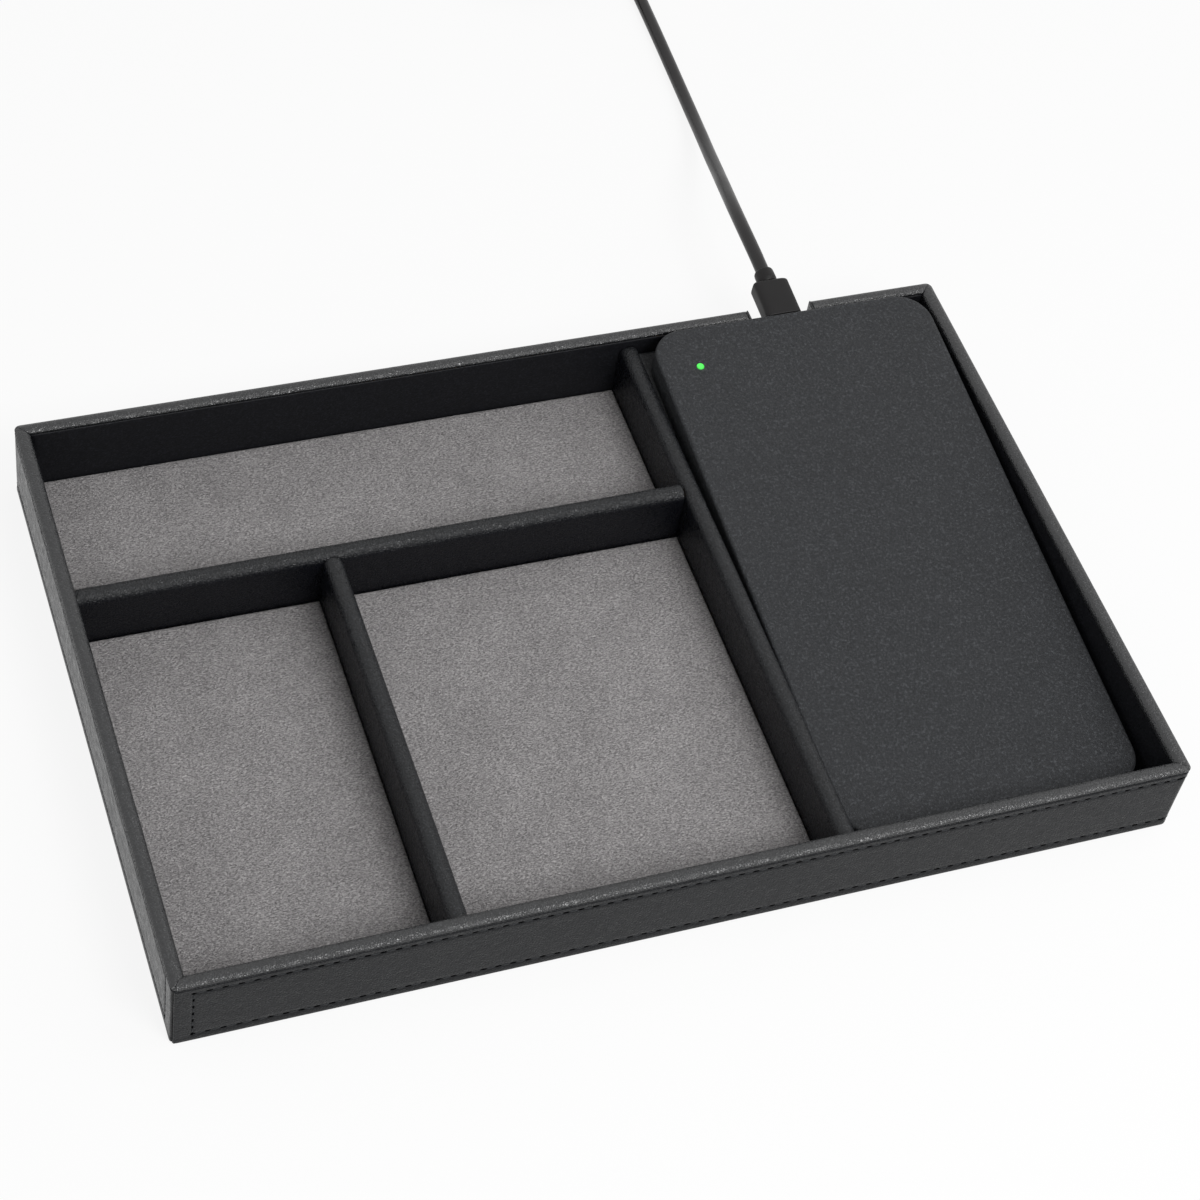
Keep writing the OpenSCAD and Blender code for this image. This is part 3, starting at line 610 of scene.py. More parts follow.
# Strap round the coil
def make_strap():
    """A soft strap wound round the bundle of turns."""
    inner = COIL_RADIUS - COIL_PITCH * COIL_TURNS / 2 - CORD / 2
    sag = inner - math.sqrt(inner * inner - 25)
    near, far = inner - sag - 0.8, COIL_RADIUS + CORD / 2 + 0.8
    low, high = 0.4, COIL_LOW + COIL_PITCH + CORD / 2 + 0.6
    radius = 2.4
    line = []
    corners = [
        (far - radius, high - radius, 0), (near + radius, high - radius, 90),
        (near + radius, low + radius, 180), (far - radius, low + radius, 270),
    ]
    for cx, cz, start in corners:
        line += quarter(cx, cz, radius, start)
    angle = math.radians(225)
    out, across = (math.cos(angle), math.sin(angle)), (-math.sin(angle), math.cos(angle))
    verts = []
    count = len(line)
    section = [(-4.9, 0.28), (-4.6, 0.4), (4.6, 0.4), (4.9, 0.28),
               (4.9, -0.28), (4.6, -0.4), (-4.6, -0.4), (-4.9, -0.28)]
    for i, (r, z) in enumerate(line):
        r0, z0 = line[i - 1]
        r1, z1 = line[(i + 1) % count]
        t = Vector((r1 - r0, z1 - z0)).normalized()
        normal = (t.y, -t.x)
        for w, n in section:
            rr, zz = r + normal[0] * n, z + normal[1] * n
            verts.append((
                COIL_CENTRE[0] + out[0] * rr + across[0] * w,
                COIL_CENTRE[1] + out[1] * rr + across[1] * w, zz))
    faces = []
    sides = len(section)
    for i in range(count):
        j = (i + 1) % count
        for k in range(sides):
            k2 = (k + 1) % sides
            faces.append((i * sides + k, i * sides + k2, j * sides + k2, j * sides + k))
    return make_piece("coil_strap", verts, faces, "strap", "cable", "hook_strap", ["cord_tie"])


make_cord()
make_plug_housing()
make_plug_sleeve()
make_strap()
make_far_sleeve()
make_far_housing()


# Outer leather
def outline(p):
    """A place on the tray's outline after p mm from the middle of the front left corner."""
    arc = math.pi / 2 * CORNER
    runs = [2 * (HALF_X - CORNER), 2 * (HALF_Y - CORNER)] * 2
    starts = [(-1, -1), (1, -1), (1, 1), (-1, 1)]
    p = p % (sum(runs) + 4 * arc) + arc / 2
    for k in range(5):
        sx, sy = starts[k % 4]
        centre = (sx * (HALF_X - CORNER), sy * (HALF_Y - CORNER))
        if p <= arc:
            a = math.radians(180 + 90 * k) + p / CORNER
            normal = (math.cos(a), math.sin(a))
            return centre[0] + CORNER * normal[0], centre[1] + CORNER * normal[1], normal
        p -= arc
        if p <= runs[k % 4]:
            a = math.radians(270 + 90 * k)
            normal = (math.cos(a), math.sin(a))
            along = (-normal[1], normal[0])
            return (
                centre[0] + CORNER * normal[0] + p * along[0],
                centre[1] + CORNER * normal[1] + p * along[1], normal)
        p -= runs[k % 4]
    raise ValueError("outline")


OUTLINE = 4 * (HALF_X + HALF_Y - 2 * CORNER) + 2 * math.pi * CORNER
TOP_ROW, LOW_ROW, END_ROW_FRONT, END_ROW_LEFT = 24.2, 3.5, 5.6, 6.6
TOP_PITCH, END_PITCH = 4.28, 3.2


def skirt_point(p, d, z):
    """A point at depth d behind the tray's outer face, at height z."""
    x, y, normal = outline(p)
    if d <= CORNER:
        return x - normal[0] * d, y - normal[1] * d, z
    return (
        max(-HALF_X + d, min(HALF_X - d, x)), max(-HALF_Y + d, min(HALF_Y - d, y)), z)


def cover_depth(p):
    """How deep the skirt may be pressed in before the boards' square corners would show."""
    _, _, normal = outline(p)
    return CORNER - (CORNER - SKIN) / max(abs(normal[0]), abs(normal[1])) - COVER_SPARE


def skirt_section():
    """The skirt's section: turned under, up the face, folded in under the rim, and back."""
    ring = [(3.95, 0.5), (3.9, 0.15), (3.6, 0.0), (2.4, 0.0), (1.4, 0.0)]
    for k in range(6):
        a = math.pi / 2 * (k + 1) / 6
        ring.append((0.95 - 0.95 * math.sin(a), 0.95 - 0.95 * math.cos(a)))
    heights = [1.9, 2.5, 2.9, 3.2, 3.5, 3.8, 4.1, 4.6, 5.6]
    heights += list(np.linspace(7.5, 21.5, 8))
    heights += [22.6, 23.3, 23.6, 23.9, 24.2, 24.5, 24.8, 25.2, 25.6, 25.9]
    ring += [(0.0, z) for z in heights]
    for k in range(5):
        a = math.pi / 2 * (k + 1) / 5
        ring.append((0.68 - 0.68 * math.cos(a), 26.05 + 0.62 * math.sin(a)))
    ring += [(0.70, 27.28), (0.8, 27.28), (0.8, 24.0), (0.8, 12.0), (0.8, 0.8), (3.9, 0.8)]
    return ring


def stitch_dip(p, z):
    """How far the leather is drawn in at a place by the sewn rows."""
    def row(distance):
        return 0.20 * math.exp(-(distance / 0.55) ** 2)
    depth = 0.0
    if LOW_ROW - 0.6 < z < TOP_ROW + 0.6:
        for end in (END_ROW_FRONT, OUTLINE - END_ROW_LEFT):
            depth = max(depth, row(p - end))
    if END_ROW_FRONT - 0.6 < p < OUTLINE - END_ROW_LEFT + 0.6:
        depth = max(depth, row(z - TOP_ROW), row(z - LOW_ROW))
    return depth


def skirt_stations():
    """Places along the outline: close together at the corners and the end rows."""
    stations = list(np.linspace(0, 1.4, 8)) + [2.4, 3.6, 4.4, 4.9, 5.2, 5.4, 5.6, 5.8, 6.0, 6.3, 6.8]
    p = 8.0
    corners = []
    arc = math.pi / 2 * CORNER
    reach = -arc / 2
    for run in (2 * (HALF_X - CORNER), 2 * (HALF_Y - CORNER)) * 2:
        reach += arc + run
        corners.append((reach, reach + arc))
    last = OUTLINE - 9.0
    while p < last:
        stations.append(p)
        near = min(min(abs(p - a), abs(p - b)) if not a <= p <= b else 0 for a, b in corners[:3])
        p += 0.3 if near < 0.4 else 1.0 if near < 3 else 2.14
    stations += [OUTLINE - e for e in (
        9.0, 7.9, 7.3, 7.0, 6.8, 6.6, 6.4, 6.2, 5.9, 5.2, 4.2, 3.0, 2.0)]
    stations += list(OUTLINE - np.linspace(1.4, 0, 8))
    return stations


def make_skirt():
    stations, section = skirt_stations(), skirt_section()
    verts = []
    for p in stations:
        if p < OUTLINE / 2:
            tuck = 0.42 * max(0.0, 1 - p / 0.35) ** 2 - 0.16 * math.exp(-((p - 0.55) / 0.3) ** 2)
        else:
            tuck = 0.45 * max(0.0, 1 - (OUTLINE - p) / 0.9) ** 2
        for d, z in section:
            x, y, _ = skirt_point(p, d, z)
            if d < 0.75:
                wave = 0.05 * ripple((x, y, z), 26) + 0.03 * ripple((x, y, z), 7, 4.0)
                face = 1.0 if 2 < z < 26 else 0.3
                d = d + tuck + face * (stitch_dip(p, z) + wave + 0.12)
                d = min(d, cover_depth(p))
            verts.append(skirt_point(p, max(d, 0.0), z))
    faces = loft_faces(len(stations), len(section))
    return make_piece(
        "outer_skirt", verts, faces, "skin", "root", "leather",
        ["front_leather", "back_leather", "left_leather", "right_leather"])


cut_notch(make_skirt())


# Thread
def bead(centre, along, out, length, profile):
    """A small closed form along a line; a profile point is (place, thickness, height, rise)."""
    across = along.cross(out)
    verts, sides = [], 6
    for t, wide, high, rise in profile:
        middle = centre + along * (t * length / 2) + out * rise
        for k in range(sides):
            a = 2 * math.pi * k / sides
            verts.append(middle + across * (math.cos(a) * wide) + out * (math.sin(a) * high))
    return [tuple(v) for v in verts], loft_faces(len(profile), sides)


STRAND = [
    (-1.0, 0.10, 0.10, -0.28), (-0.85, 0.18, 0.16, -0.12), (-0.5, 0.23, 0.19, -0.01),
    (0, 0.24, 0.20, 0.02), (0.5, 0.23, 0.19, -0.01), (0.85, 0.18, 0.16, -0.12),
    (1.0, 0.10, 0.10, -0.28),
]
HOLE = [
    (-1.0, 0.06, 0.04, -0.06), (-0.7, 0.30, 0.14, 0), (0, 0.38, 0.16, 0), (0.7, 0.30, 0.14, 0),
    (1.0, 0.06, 0.04, -0.06),
]


SEAM = [(-1.0, 0.10, 0.05, 0), (1.0, 0.10, 0.05, 0)]
SEAM_LOW, SEAM_HIGH = 0.9, 26.0


def stitch_rows():
    """Each sewn row as a list of (p, z) at its needle holes, and whether it runs level."""
    first, last = END_ROW_FRONT, OUTLINE - END_ROW_LEFT
    count = round((last - first) / TOP_PITCH)
    steps = [first + (last - first) * k / count for k in range(count + 1)]
    rises = round((TOP_ROW - LOW_ROW) / END_PITCH)
    heights = [LOW_ROW + (TOP_ROW - LOW_ROW) * k / rises for k in range(rises + 1)]
    rows = [([(p, z) for p in steps], True) for z in (TOP_ROW, LOW_ROW)]
    rows += [([(p, z) for z in heights], False) for p in (first, last)]
    return rows


def over_notch(p, z):
    x, y, _ = outline(p)
    return z > NOTCH_FLOOR and y > 0 and abs(x - NOTCH_X) < NOTCH_HALF + 3


def on_skirt(p, z, level, depth, wander):
    """A stitch's middle, its run and its outward direction at a place of the skirt."""
    x, y, normal = outline(p)
    out = Vector((*normal, 0))
    side, up = Vector((-normal[1], normal[0], 0)), Vector((0, 0, 1))
    run, tilt = (side, up) if level else (up, side)
    along = (run + tilt * (0.05 + wander)).normalized()
    return Vector((x, y, z)) - out * depth + tilt * wander, along, out


def make_stitches():
    """Threads drawn into the leather, near-black beads painting the shade in their holes, and a
    near-black strip painting the shade in the gap of the corner seam.
    """
    parts = {"thread": ([], []), "hole": ([], [])}

    def add(kind, made):
        verts, faces = parts[kind]
        faces += [tuple(k + len(verts) for k in face) for face in made[1]]
        verts += made[0]

    count = 0
    for row, level in stitch_rows():
        for i, (p, z) in enumerate(row):
            if over_notch(p, z):
                continue
            pitch = TOP_PITCH if level else END_PITCH
            count += 1
            wander = 0.05 * math.sin(count * 12.9898)
            place, along, out = on_skirt(p, z, level, 0.30, wander)
            add("hole", bead(place, along, out, 0.45 * pitch, HOLE))
            if i + 1 < len(row):
                ahead = (p + pitch / 2, z) if level else (p, z + pitch / 2)
                middle, along, out = on_skirt(*ahead, level, 0.30, wander)
                add("thread", bead(middle, along, out, 0.62 * pitch, STRAND))
    # A near-black strip down the front left corner: painted shade in the seam's gap.
    middle, up, out = on_skirt(0, (SEAM_LOW + SEAM_HIGH) / 2, False, 0.26, -0.05)
    add("hole", bead(middle, up, out, SEAM_HIGH - SEAM_LOW, SEAM))
    make_piece("skirt_stitches", *parts["thread"], "thread", "root", "leather")
    make_piece("skirt_needle_holes", *parts["hole"], "hole", "root", "leather")


make_stitches()


# Rim binding
def rim_section(back):
    """The binding's ring: rolled outside over the groove, soft inside, a short lip at the back."""
    ring = [(0.80, 27.28), (0.45, 27.26), (0.20, 27.30), (0.05, 27.42)]
    for angle in range(-10, 91, 10):
        a = math.radians(angle)
        ring.append((1.6 - 1.6 * math.cos(a), 27.6 + 0.9 * math.sin(a)))
    if back:
        middle, low, wide, high = 1.65, 27.35, 2.1, 1.15
    else:
        middle, low, wide, high = 2.3, 26.6, 2.1, 1.9
    for angle in (80, 66, 52, 38, 24, 10, 0):
        a = math.radians(angle)
        ring.append((middle + wide * math.cos(a), low + high * math.sin(a)))
    if back:
        ring += [(3.75, 27.1), (3.68, 26.9), (3.56, 26.8), (3.52, 27.0), (3.52, 27.4)]
    else:
        ring += [
            (4.41, 26.2), (4.38, 25.9), (4.28, 25.76), (4.12, 25.74), (3.98, 25.9),
            (3.92, 26.4), (3.84, 27.0),
        ]
    return ring + [(3.52, 27.71), (2.2, 27.70), (0.80, 27.70)]


def side_point(side, s, d, z):
    """A point of one side: s along it, d behind its outer face. 0 front, 1 right, 2 back, 3 left."""
    reach = HALF_X if side % 2 else HALF_Y
    x, y = s, -reach + d
    for _ in range(side):
        x, y = -y, x
    return x, y, z


def rim_point(side, station, d, z):
    """A point of the rim at a station, which is (s, angle round the corner in radians)."""
    half = HALF_Y if side % 2 else HALF_X
    s, angle = station
    if angle == 0:
        if d > CORNER:
            s = max(-half + d, min(half - d, s))
        return side_point(side, s, d, z)
    end = math.copysign(1, s)
    reach = CORNER - d
    if reach > 0.05:
        along = end * (half - CORNER + reach * math.sin(angle))
        return side_point(side, along, CORNER - reach * math.cos(angle), z)
    return side_point(side, end * (half - d), d, z)


MITRE_STEPS = (0, 0.4, 0.8, 1.2, 1.5, 1.8, 2.2, 3.0, 4.2)


def rim_stations(side, low=None, high=None):
    half = HALF_Y if side % 2 else HALF_X
    run = half - CORNER
    stations = []
    angles = [math.radians(a) for a in (44.9, 44.0, 42, 38, 32, 24, 12)]
    if low is None:
        stations += [(-run, a) for a in angles]
        low = -run
    else:
        stations += [(low, 0), (low + 0.12, 0), (low + 0.35, 0), (low + 0.8, 0)]
    inner = [low + k for k in MITRE_STEPS] if stations[0][1] else [low + 1.4]
    tail = []
    if high is None:
        high = run
        tail = [(run, a) for a in reversed(angles)]
        outer = [high - k for k in reversed(MITRE_STEPS)]
    else:
        outer = [high - 1.4]
        tail = [(high - 0.8, 0), (high - 0.35, 0), (high - 0.12, 0), (high, 0)]
    middle = list(np.linspace(inner[-1], outer[0], max(3, int((outer[0] - inner[-1]) / 2.5))))[1:-1]
    stations += [(s, 0) for s in inner + middle + outer]
    return stations + tail


def mitre_gap(side, station, d):
    """How far a point of the rim is from the seam at the nearer corner."""
    half = HALF_Y if side % 2 else HALF_X
    s, angle = station
    if angle:
        return max(0.0, math.radians(45) - angle) * CORNER
    return abs(half - abs(s) - d)


def make_rim(name, side, low=None, high=None, nodes=()):
    stations, section = rim_stations(side, low, high), rim_section(side == 2)
    verts = []
    for station in stations:
        s = station[0]
        open_end = low if s < 0 else high
        cut = max(0.0, 1 - abs(s - open_end) / 0.8) if open_end is not None else 0.0
        for d, z in section:
            top = min(1.0, max(0.0, (z - 26.2) / 2.0))
            seam = 0.0
            if open_end is None:
                seam = 0.30 * math.exp(-(mitre_gap(side, station, d) / 0.28) ** 2)
            seam += 0.45 * cut ** 2
            x, y, _ = rim_point(side, station, d, z)
            corner = math.hypot(HALF_X - abs(x), HALF_Y - abs(y))
            slump = 0.30 * math.exp(-(corner / 2.6) ** 2)
            wave = 0.05 * ripple((x, y, 0), 21, 1.5) + 0.025 * ripple((x, y, 0), 6, 7.5)
            push = 0.07 * ripple((x, y, z), 17, 3.0) if d > 0.9 else 0.03
            drop = top * (seam + slump + 0.05 - wave)
            if z > 26.2:
                z = max(z - drop, min(z, BOARD_TOP + RIM_SPARE))
            verts.append(rim_point(side, station, d + push, z))
    return make_piece(
        name, verts, loft_faces(len(stations), len(section)), "rim", "root", "leather", nodes)


EDGE = NOTCH_HALF + SKIN
make_rim("rim_front", 0, nodes=["rim_binding"])
make_rim("rim_right", 1)
make_rim("rim_back_right", 2, high=-(NOTCH_X + EDGE))
make_rim("rim_back_left", 2, low=-(NOTCH_X - EDGE))
make_rim("rim_left", 3)


# Linings of the walls
def make_lining(name, node, side, seed):
    """A thin sheet glued to a wall's inner face: a little uneven, its top edge under the rim."""
    half = HALF_Y if side % 2 else HALF_X
    deep, face = WALL - SKIN + 0.02, WALL - 0.1
    top = 27.1 if side == 2 else 26.2
    section = [(deep, top - 0.5), (deep, BASE_TOP), (face, BASE_TOP)]
    section += [(face, z) for z in (6, 9, 12, 15, 18, 21, 23.5, top - 0.8, top - 0.3)]
    section += [(face - 0.08, top - 0.1), (face - 0.25, top), (face - 0.38, top - 0.05)]
    end = half - deep - 0.1
    stations = np.linspace(-end, end, int(end / 1.5))
    verts = []
    for s in stations:
        for d, z in section:
            x, y, _ = side_point(side, s, d, z)
            wave = 0.06 * ripple((x, y, z), 15, seed) if d > deep and z > BASE_TOP else 0
            verts.append(side_point(side, s, d + wave, z))
    faces = loft_faces(len(stations), len(section))
    return make_piece(name, verts, faces, "lining", "root", "lining", [node])


make_lining("front_wall_lining", "front_lining", 0, 1.0)
make_lining("right_wall_lining", "right_lining", 1, 2.0)
make_lining("left_wall_lining", "left_lining", 3, 4.0)
cut_notch(make_lining("back_wall_lining", "back_lining", 2, 3.0))


# Notch lining
def make_notch():
    """A soft channel of leather, with its long edges rolled."""
    path, radius = [], 1.6
    left, right = NOTCH_X - NOTCH_HALF - SKIN / 2, NOTCH_X + NOTCH_HALF + SKIN / 2
    floor = NOTCH_FLOOR - SKIN / 2
    for z in (28.1, 27.9, 27.3, 25.5, 23.5, 21.5, 19.5):
        path.append((left, z))
    path += quarter(left + radius, floor + radius, radius, 180)
    for x in np.linspace(left + radius, right - radius, 9)[1:-1]:
        path.append((x, floor))
    path += quarter(right - radius, floor + radius, radius, 270)
    for z in (19.5, 21.5, 23.5, 25.5, 27.3, 27.9, 28.1):
        path.append((right, z))
    low, high = HALF_Y - WALL, HALF_Y
    section = []
    for y, sign in ((high - 0.4, 1), (low + 0.4, -1)):
        for k in range(7):
            a = math.radians(90 - 180 * k / 6)
            section.append((y + sign * 0.4 * math.cos(a), sign * 0.4 * math.sin(a)))
    verts = []
    for i, (x, z) in enumerate(path):
        x0, z0 = path[max(i - 1, 0)]
        x1, z1 = path[min(i + 1, len(path) - 1)]
        t = Vector((x1 - x0, z1 - z0)).normalized()
        normal = (-t.y, t.x)
        end = min(i, len(path) - 1 - i)
        thin = (0.45, 0.85)[end] if end < 2 else 1.0
        for y, n in section:
            verts.append((x + normal[0] * n * thin, y, z + normal[1] * n * thin))
    return make_piece(
        "notch_channel", verts, loft_faces(len(path), len(section)), "rim", "root", "lining",
        ["notch_lining"])


make_notch()


# Dividers
def divider_ring(width, top, low, power, count):
    """Half of a soft upright section, from one foot over the top to the other."""
    points = [(-width / 2, low)]
    straight = [0.0, 0.25, 0.5, 0.75, 0.9]
    crown = width / 2
    points += [(-width / 2, low + (top - crown - low) * k) for k in straight[1:]]
    for k in range(count + 1):
        a = math.pi * (1 - k / count)
        c, s = math.cos(a), math.sin(a)
        x = width / 2 * math.copysign(abs(c) ** (2 / power), c)
        points.append((x, top - crown + crown * abs(s) ** (2 / power)))
    points += [(width / 2, low + (top - crown - low) * k) for k in reversed(straight)]
    return points


def make_divider(name, node, place, start, end, seed):
    """place(along, across, z) puts a point; start and end are where the divider butts."""
    outer = divider_ring(6.0, DIVIDER_TOP, BASE_TOP, 2.15, 18)
    inner = divider_ring(4.4, DIVIDER_TOP - SKIN, BASE_TOP, 2.15, 18)
    ring = outer + inner[::-1]
    stops = [0, 0.25, 0.6, 1.1, 1.8, 2.8]
    count = max(4, int((end - start - 6) / 2.5))
    along = [start + k for k in stops]
    along += list(np.linspace(start + 2.8, end - 2.8, count))[1:-1]
    along += [end - k for k in reversed(stops)]
    verts = []
    for a in along:
        near = min(a - start, end - a)
        pinch = max(0.0, 1 - near / 1.8) ** 2
        for i, (x, z) in enumerate(ring):
            top = max(0.0, (z - (DIVIDER_TOP - 3)) / 3)
            shell = 1.0 if i < len(outer) else 0.6
            wave = 0.10 * ripple((a, 0, 0), 23, seed) * top + 0.05 * ripple((a, x, 0), 6, seed + 3)
            bulge = 0.10 * ripple((a, x * 4, z), 19, seed + 9) * math.copysign(1, x)
            side = 1 - 0.03 * pinch * top
            px = x * side - math.copysign(0.06, x) + bulge * 0.5 * (abs(x) > 1)
            pz = z + (wave - 0.12) * top * shell - 0.16 * pinch * top
            verts.append(place(a, px, pz))
    return make_piece(
        name, verts, loft_faces(len(along), len(ring)), "divider", "root", "leather", [node])


INNER_X, INNER_Y = HALF_X - WALL, HALF_Y - WALL
make_divider(
    "cross_divider_cover", "cross_divider_wrap", lambda a, c, z: (a, 36.1 - c, z),
    -INNER_X + 0.1, 40.9, 1.0)
make_divider(
    "short_divider_cover", "short_divider_wrap", lambda a, c, z: (-70 + c, a, z),
    -INNER_Y + 0.1, 33.0, 5.0)
make_divider(
    "long_divider_cover", "long_divider_wrap", lambda a, c, z: (44 + c, a, z),
    -INNER_Y + 0.1, INNER_Y - 0.1, 8.0)


# Soft floors
def fine_line(a, b, step, edge=(0, 0.12, 0.35, 0.7, 1.2, 2.0)):
    """Places from a to b, close together at both ends."""
    reach = edge[-1]
    count = max(3, int((b - a - 2 * reach) / step))
    middle = list(np.linspace(a + reach, b - reach, count))[1:-1]
    return [a + e for e in edge] + middle + [b - e for e in reversed(edge)]


def make_mat(name, node, material, slot, x_range, y_range, z_range, place, uneven, seed):
    """A thin flat pad: its top crowned, softly uneven and drawn down along its edges."""
    low, top = z_range
    (x0, x1), (y0, y1) = x_range, y_range
    xs, ys = fine_line(x0, x1, 1.8), fine_line(y0, y1, 1.8)
    verts = []
    for y in ys:
        for x in xs:
            near = min(x - x0, x1 - x, y - y0, y1 - y)
            fall = 0.45 * max(0.0, 1 - near / 1.2) ** 2
            bumps = ripple((x, y, 0), 9, seed) + 0.6 * ripple((x, y, 0), 3, seed + 5)
            verts.append(place(x, y, top - 0.05 - fall + uneven * bumps * min(1, near)))
    nx, ny = len(xs), len(ys)
    faces = [
        (j * nx + i, j * nx + i + 1, (j + 1) * nx + i + 1, (j + 1) * nx + i)
        for j in range(ny - 1) for i in range(nx - 1)]
    border = list(range(nx)) + [j * nx + nx - 1 for j in range(1, ny)]
    border += [(ny - 1) * nx + i for i in range(nx - 2, -1, -1)]
    border += [j * nx for j in range(ny - 2, 0, -1)]
    first, count = len(verts), len(border)
    verts += [place(xs[i % nx], ys[i // nx], low) for i in border]
    for k in range(count):
        after = (k + 1) % count
        faces.append((border[k], border[after], first + after, first + k))
    faces.append(tuple(range(first, first + count)))
    return make_piece(name, verts, faces, material, "root", slot, [node])


def make_suede_pad(name, node, x_range, y_range, seed):
    x_range = (x_range[0] + 0.1, x_range[1] - 0.1)
    y_range = (y_range[0] + 0.1, y_range[1] - 0.1)
    piece = make_mat(
        name, node, "suede", "suede", x_range, y_range, (5.0, 5.7),
        lambda x, y, z: (x, y, z), 0.035, seed)


make_suede_pad("glasses_pad", "glasses_floor_suede", (-INNER_X, 41.0), (39.1, INNER_Y), 2.0)
make_suede_pad("watch_pad", "watch_floor_suede", (-INNER_X, -73.0), (-INNER_Y, 33.1), 6.0)
make_suede_pad("key_pad", "key_floor_suede", (-67.0, 41.0), (-INNER_Y, 33.1), 11.0)
BAY_HALF = (INNER_X - 47) / 2
BED_END = (2 * INNER_Y - 0.3) / math.cos(TILT)
make_mat(
    "bay_bed", "bay_cover", "bed", "leather", (-BAY_HALF + 0.1, BAY_HALF - 0.1), (0.3, BED_END),
    (0.0, 0.8), slope_point, 0.02, 15.0)


# Charging pad
def rounded_outline(width, length, radius, steps=12):
    points = []
    for cx, cy, start in (
        (width / 2 - radius, length / 2 - radius, 0), (-width / 2 + radius, length / 2 - radius, 90),
        (-width / 2 + radius, -length / 2 + radius, 180), (width / 2 - radius, -length / 2 + radius, 270),
    ):
        points += quarter(cx, cy, radius, start, steps)
    return points


def on_pad(x, y, z):
    return slope_point(x, PAD_BACK - PAD_LENGTH / 2 + y, PAD_UNDER + z)


def pad_ring(inset, corner=11.0, per_side=(14, 26)):
    """The pad's outline moved inward, with extra points along its straight sides."""
    radius = max(corner - inset, 0.6)
    base = rounded_outline(PAD_WIDTH - 2 * inset, PAD_LENGTH - 2 * inset, radius)
    ring = []
    quarter = len(base) // 4
    for side in range(4):
        arc = base[side * quarter:(side + 1) * quarter]
        ring += arc
        a, b = arc[-1], base[((side + 1) * quarter) % len(base)]
        count = per_side[0] if side % 2 == 0 else per_side[1]
        ring += [
            (a[0] + (b[0] - a[0]) * k / count, a[1] + (b[1] - a[1]) * k / count)
            for k in range(1, count)]
    return ring


def make_pad():
    edge = 1.2
    levels = [(46.5, PAD_THICK), (40, PAD_THICK), (30, PAD_THICK), (20, PAD_THICK), (12, PAD_THICK),
              (7, PAD_THICK), (4, PAD_THICK), (2.4, PAD_THICK), (1.7, PAD_THICK)]
    for k in range(8):
        a = math.pi / 2 * k / 7
        levels.append((edge - edge * math.sin(a), PAD_THICK - edge + edge * math.cos(a)))
    levels += [(0, z) for z in (6.2, 4.8, 3.2, 1.6, 0.7)]
    levels += [(0.1, 0.25), (0.3, 0.02), (0.8, 0.0), (0.8, 3.5), (0.8, 7.7), (6, 7.7), (46.5, 7.7)]
    verts = []
    for i, (inset, z) in enumerate(levels):
        outer = i < 22
        for x, y in pad_ring(inset):
            lift = 0.0
            if outer:
                lift = 0.045 * ripple((x, y, z), 24, 2.5) + 0.02 * ripple((x, y, z), 7, 6.5)
            if z > PAD_THICK - 0.3 and outer:
                verts.append(on_pad(x, y, z - 0.04 + lift))
            elif outer and z > 0.5:
                k = 1 - (0.05 - lift) / (PAD_WIDTH / 2)
                verts.append(on_pad(x * k, y * (1 - (0.05 - lift) / (PAD_LENGTH / 2)), z))
            else:
                verts.append(on_pad(x, y, z))
    return make_piece(
        "pad_cover", verts, loft_faces(len(levels), len(pad_ring(0))), "pad", "charger",
        "pad_leather", ["charger_cover"])


pad_cover = make_pad()
PORT_HOLE = (5.0, 2.05)
port_low = on_pad(-PORT_HOLE[0], PAD_LENGTH / 2 - 1.2, PORT_Z - PAD_UNDER - PORT_HOLE[1])
port_high = on_pad(PORT_HOLE[0], PAD_LENGTH / 2 + 1.2, PORT_Z - PAD_UNDER + PORT_HOLE[1])
cut_box(pad_cover, port_low, port_high)


# Floor, lamps, world
WHITE = (1, 1, 1, 1)


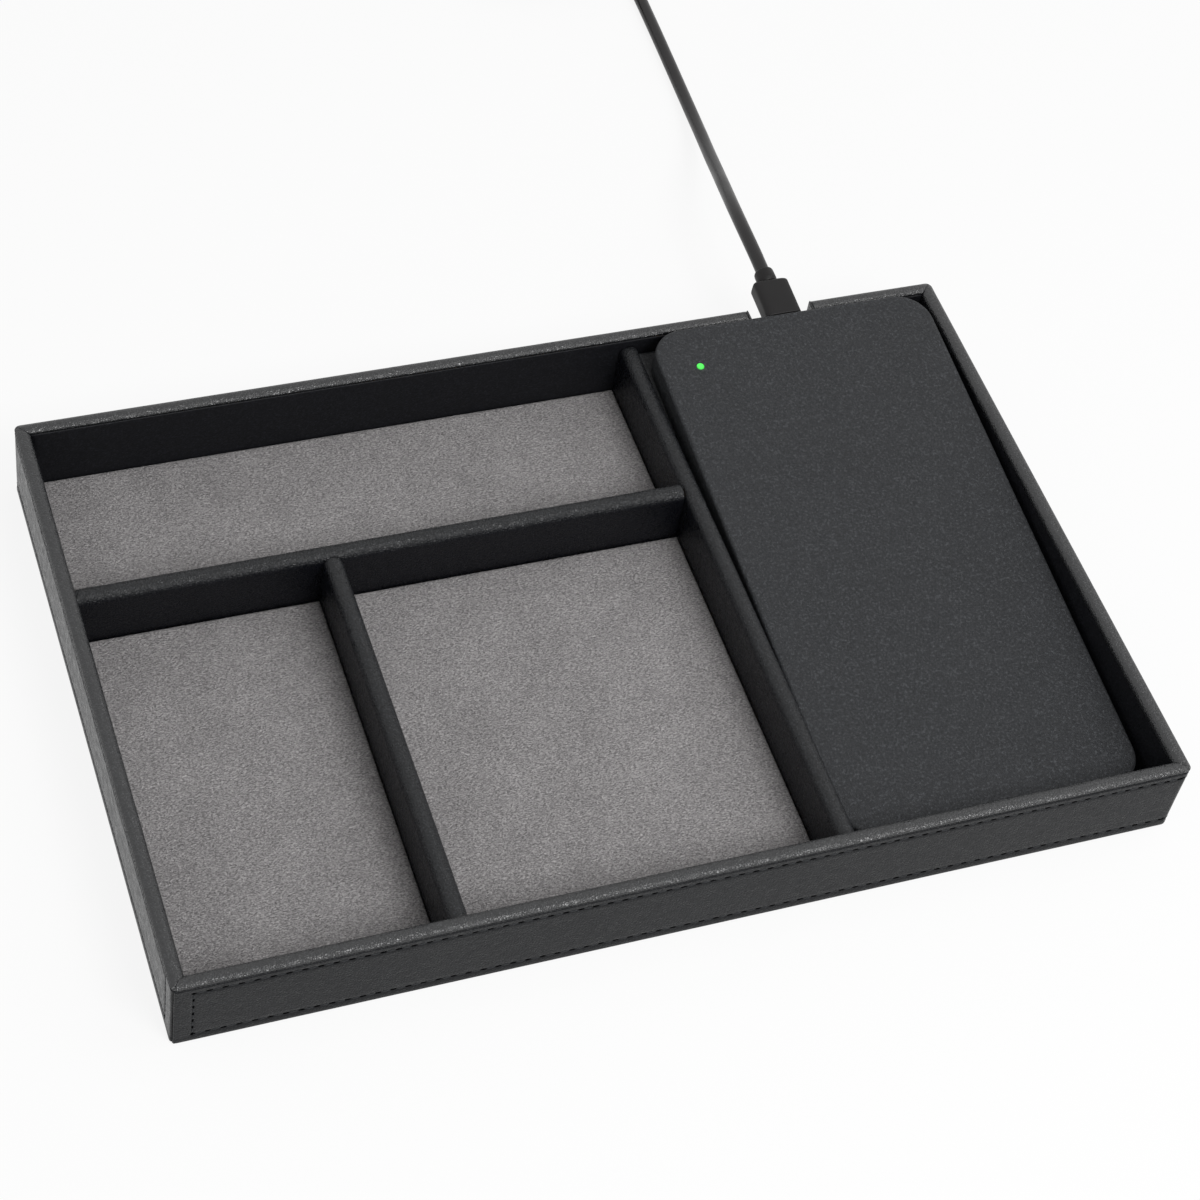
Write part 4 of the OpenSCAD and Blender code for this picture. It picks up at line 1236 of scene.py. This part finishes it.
def make_stage():
    mesh = bpy.data.meshes.new("floor")
    size, z = 3.0, -0.0003
    corners = [(-size, -size, z), (size, -size, z), (size, size, z), (-size, size, z)]
    mesh.from_pydata(corners, [], [(0, 1, 2, 3)])
    floor = placed("floor", mesh)
    mat, tree, bsdf = new_material("floor_white")
    seen = seen_directly(tree)
    feed(tree, bsdf, {
        "Roughness": 0.9, "Specular IOR Level": 0.1,
        "Base Color": blend_colour(tree, seen, (0.5, 0.5, 0.5), (0.95, 0.95, 0.95))})
    glow = tree.nodes.new("ShaderNodeEmission")
    feed(tree, glow, {"Color": WHITE, "Strength": 1.0})
    share = tree.nodes.new("ShaderNodeMath")
    share.operation = "MULTIPLY"
    feed(tree, share, {0: seen, 1: 0.88})
    join_shaders(tree, share.outputs[0], bsdf, glow, "Material Output")
    mesh.materials.append(mat)


def seen_directly(tree):
    """1 for camera, glossy and transmission rays, which see the background white."""
    rays = tree.nodes.new("ShaderNodeLightPath").outputs
    total = rays["Is Camera Ray"]
    for name in ("Is Glossy Ray", "Is Transmission Ray"):
        larger = tree.nodes.new("ShaderNodeMath")
        larger.operation = "MAXIMUM"
        feed(tree, larger, {0: total, 1: rays[name]})
        total = larger.outputs[0]
    return total


def join_shaders(tree, share, first, second, output):
    """Sends a mix of two shader nodes to the output; the share is the second's."""
    mix = tree.nodes.new("ShaderNodeMixShader")
    feed(tree, mix, {"Fac": share, 1: first.outputs[0], 2: second.outputs[0]})
    feed(tree, tree.nodes[output], {"Surface": mix.outputs[0]})


def make_lamp(name, location, target, size, watts):
    data = bpy.data.lights.new(name, "AREA")
    data.shape = "RECTANGLE"
    data.size, data.size_y = size
    data.energy = watts
    lamp = placed(name, data)
    lamp.location = location
    direction = Vector(target) - Vector(location)
    lamp.rotation_euler = direction.to_track_quat("-Z", "Y").to_euler()


def make_world():
    world = bpy.data.worlds.new("studio")
    bpy.context.scene.world = world
    world.use_nodes = True
    tree = world.node_tree
    background = tree.nodes["Background"]
    feed(tree, background, {"Color": WHITE, "Strength": 0.38})
    white = tree.nodes.new("ShaderNodeBackground")
    feed(tree, white, {"Color": WHITE, "Strength": 1.0})
    join_shaders(tree, seen_directly(tree), background, white, "World Output")


make_stage()
make_lamp("side_light", (0.7, -0.05, 1.0), (0, 0, 0), (0.7, 0.7), 2.5)
make_lamp("front_light", (0.2, -0.75, 0.95), (0, 0, 0), (0.45, 0.45), 7.5)
make_world()
bpy.context.scene.view_settings.view_transform = "Standard"
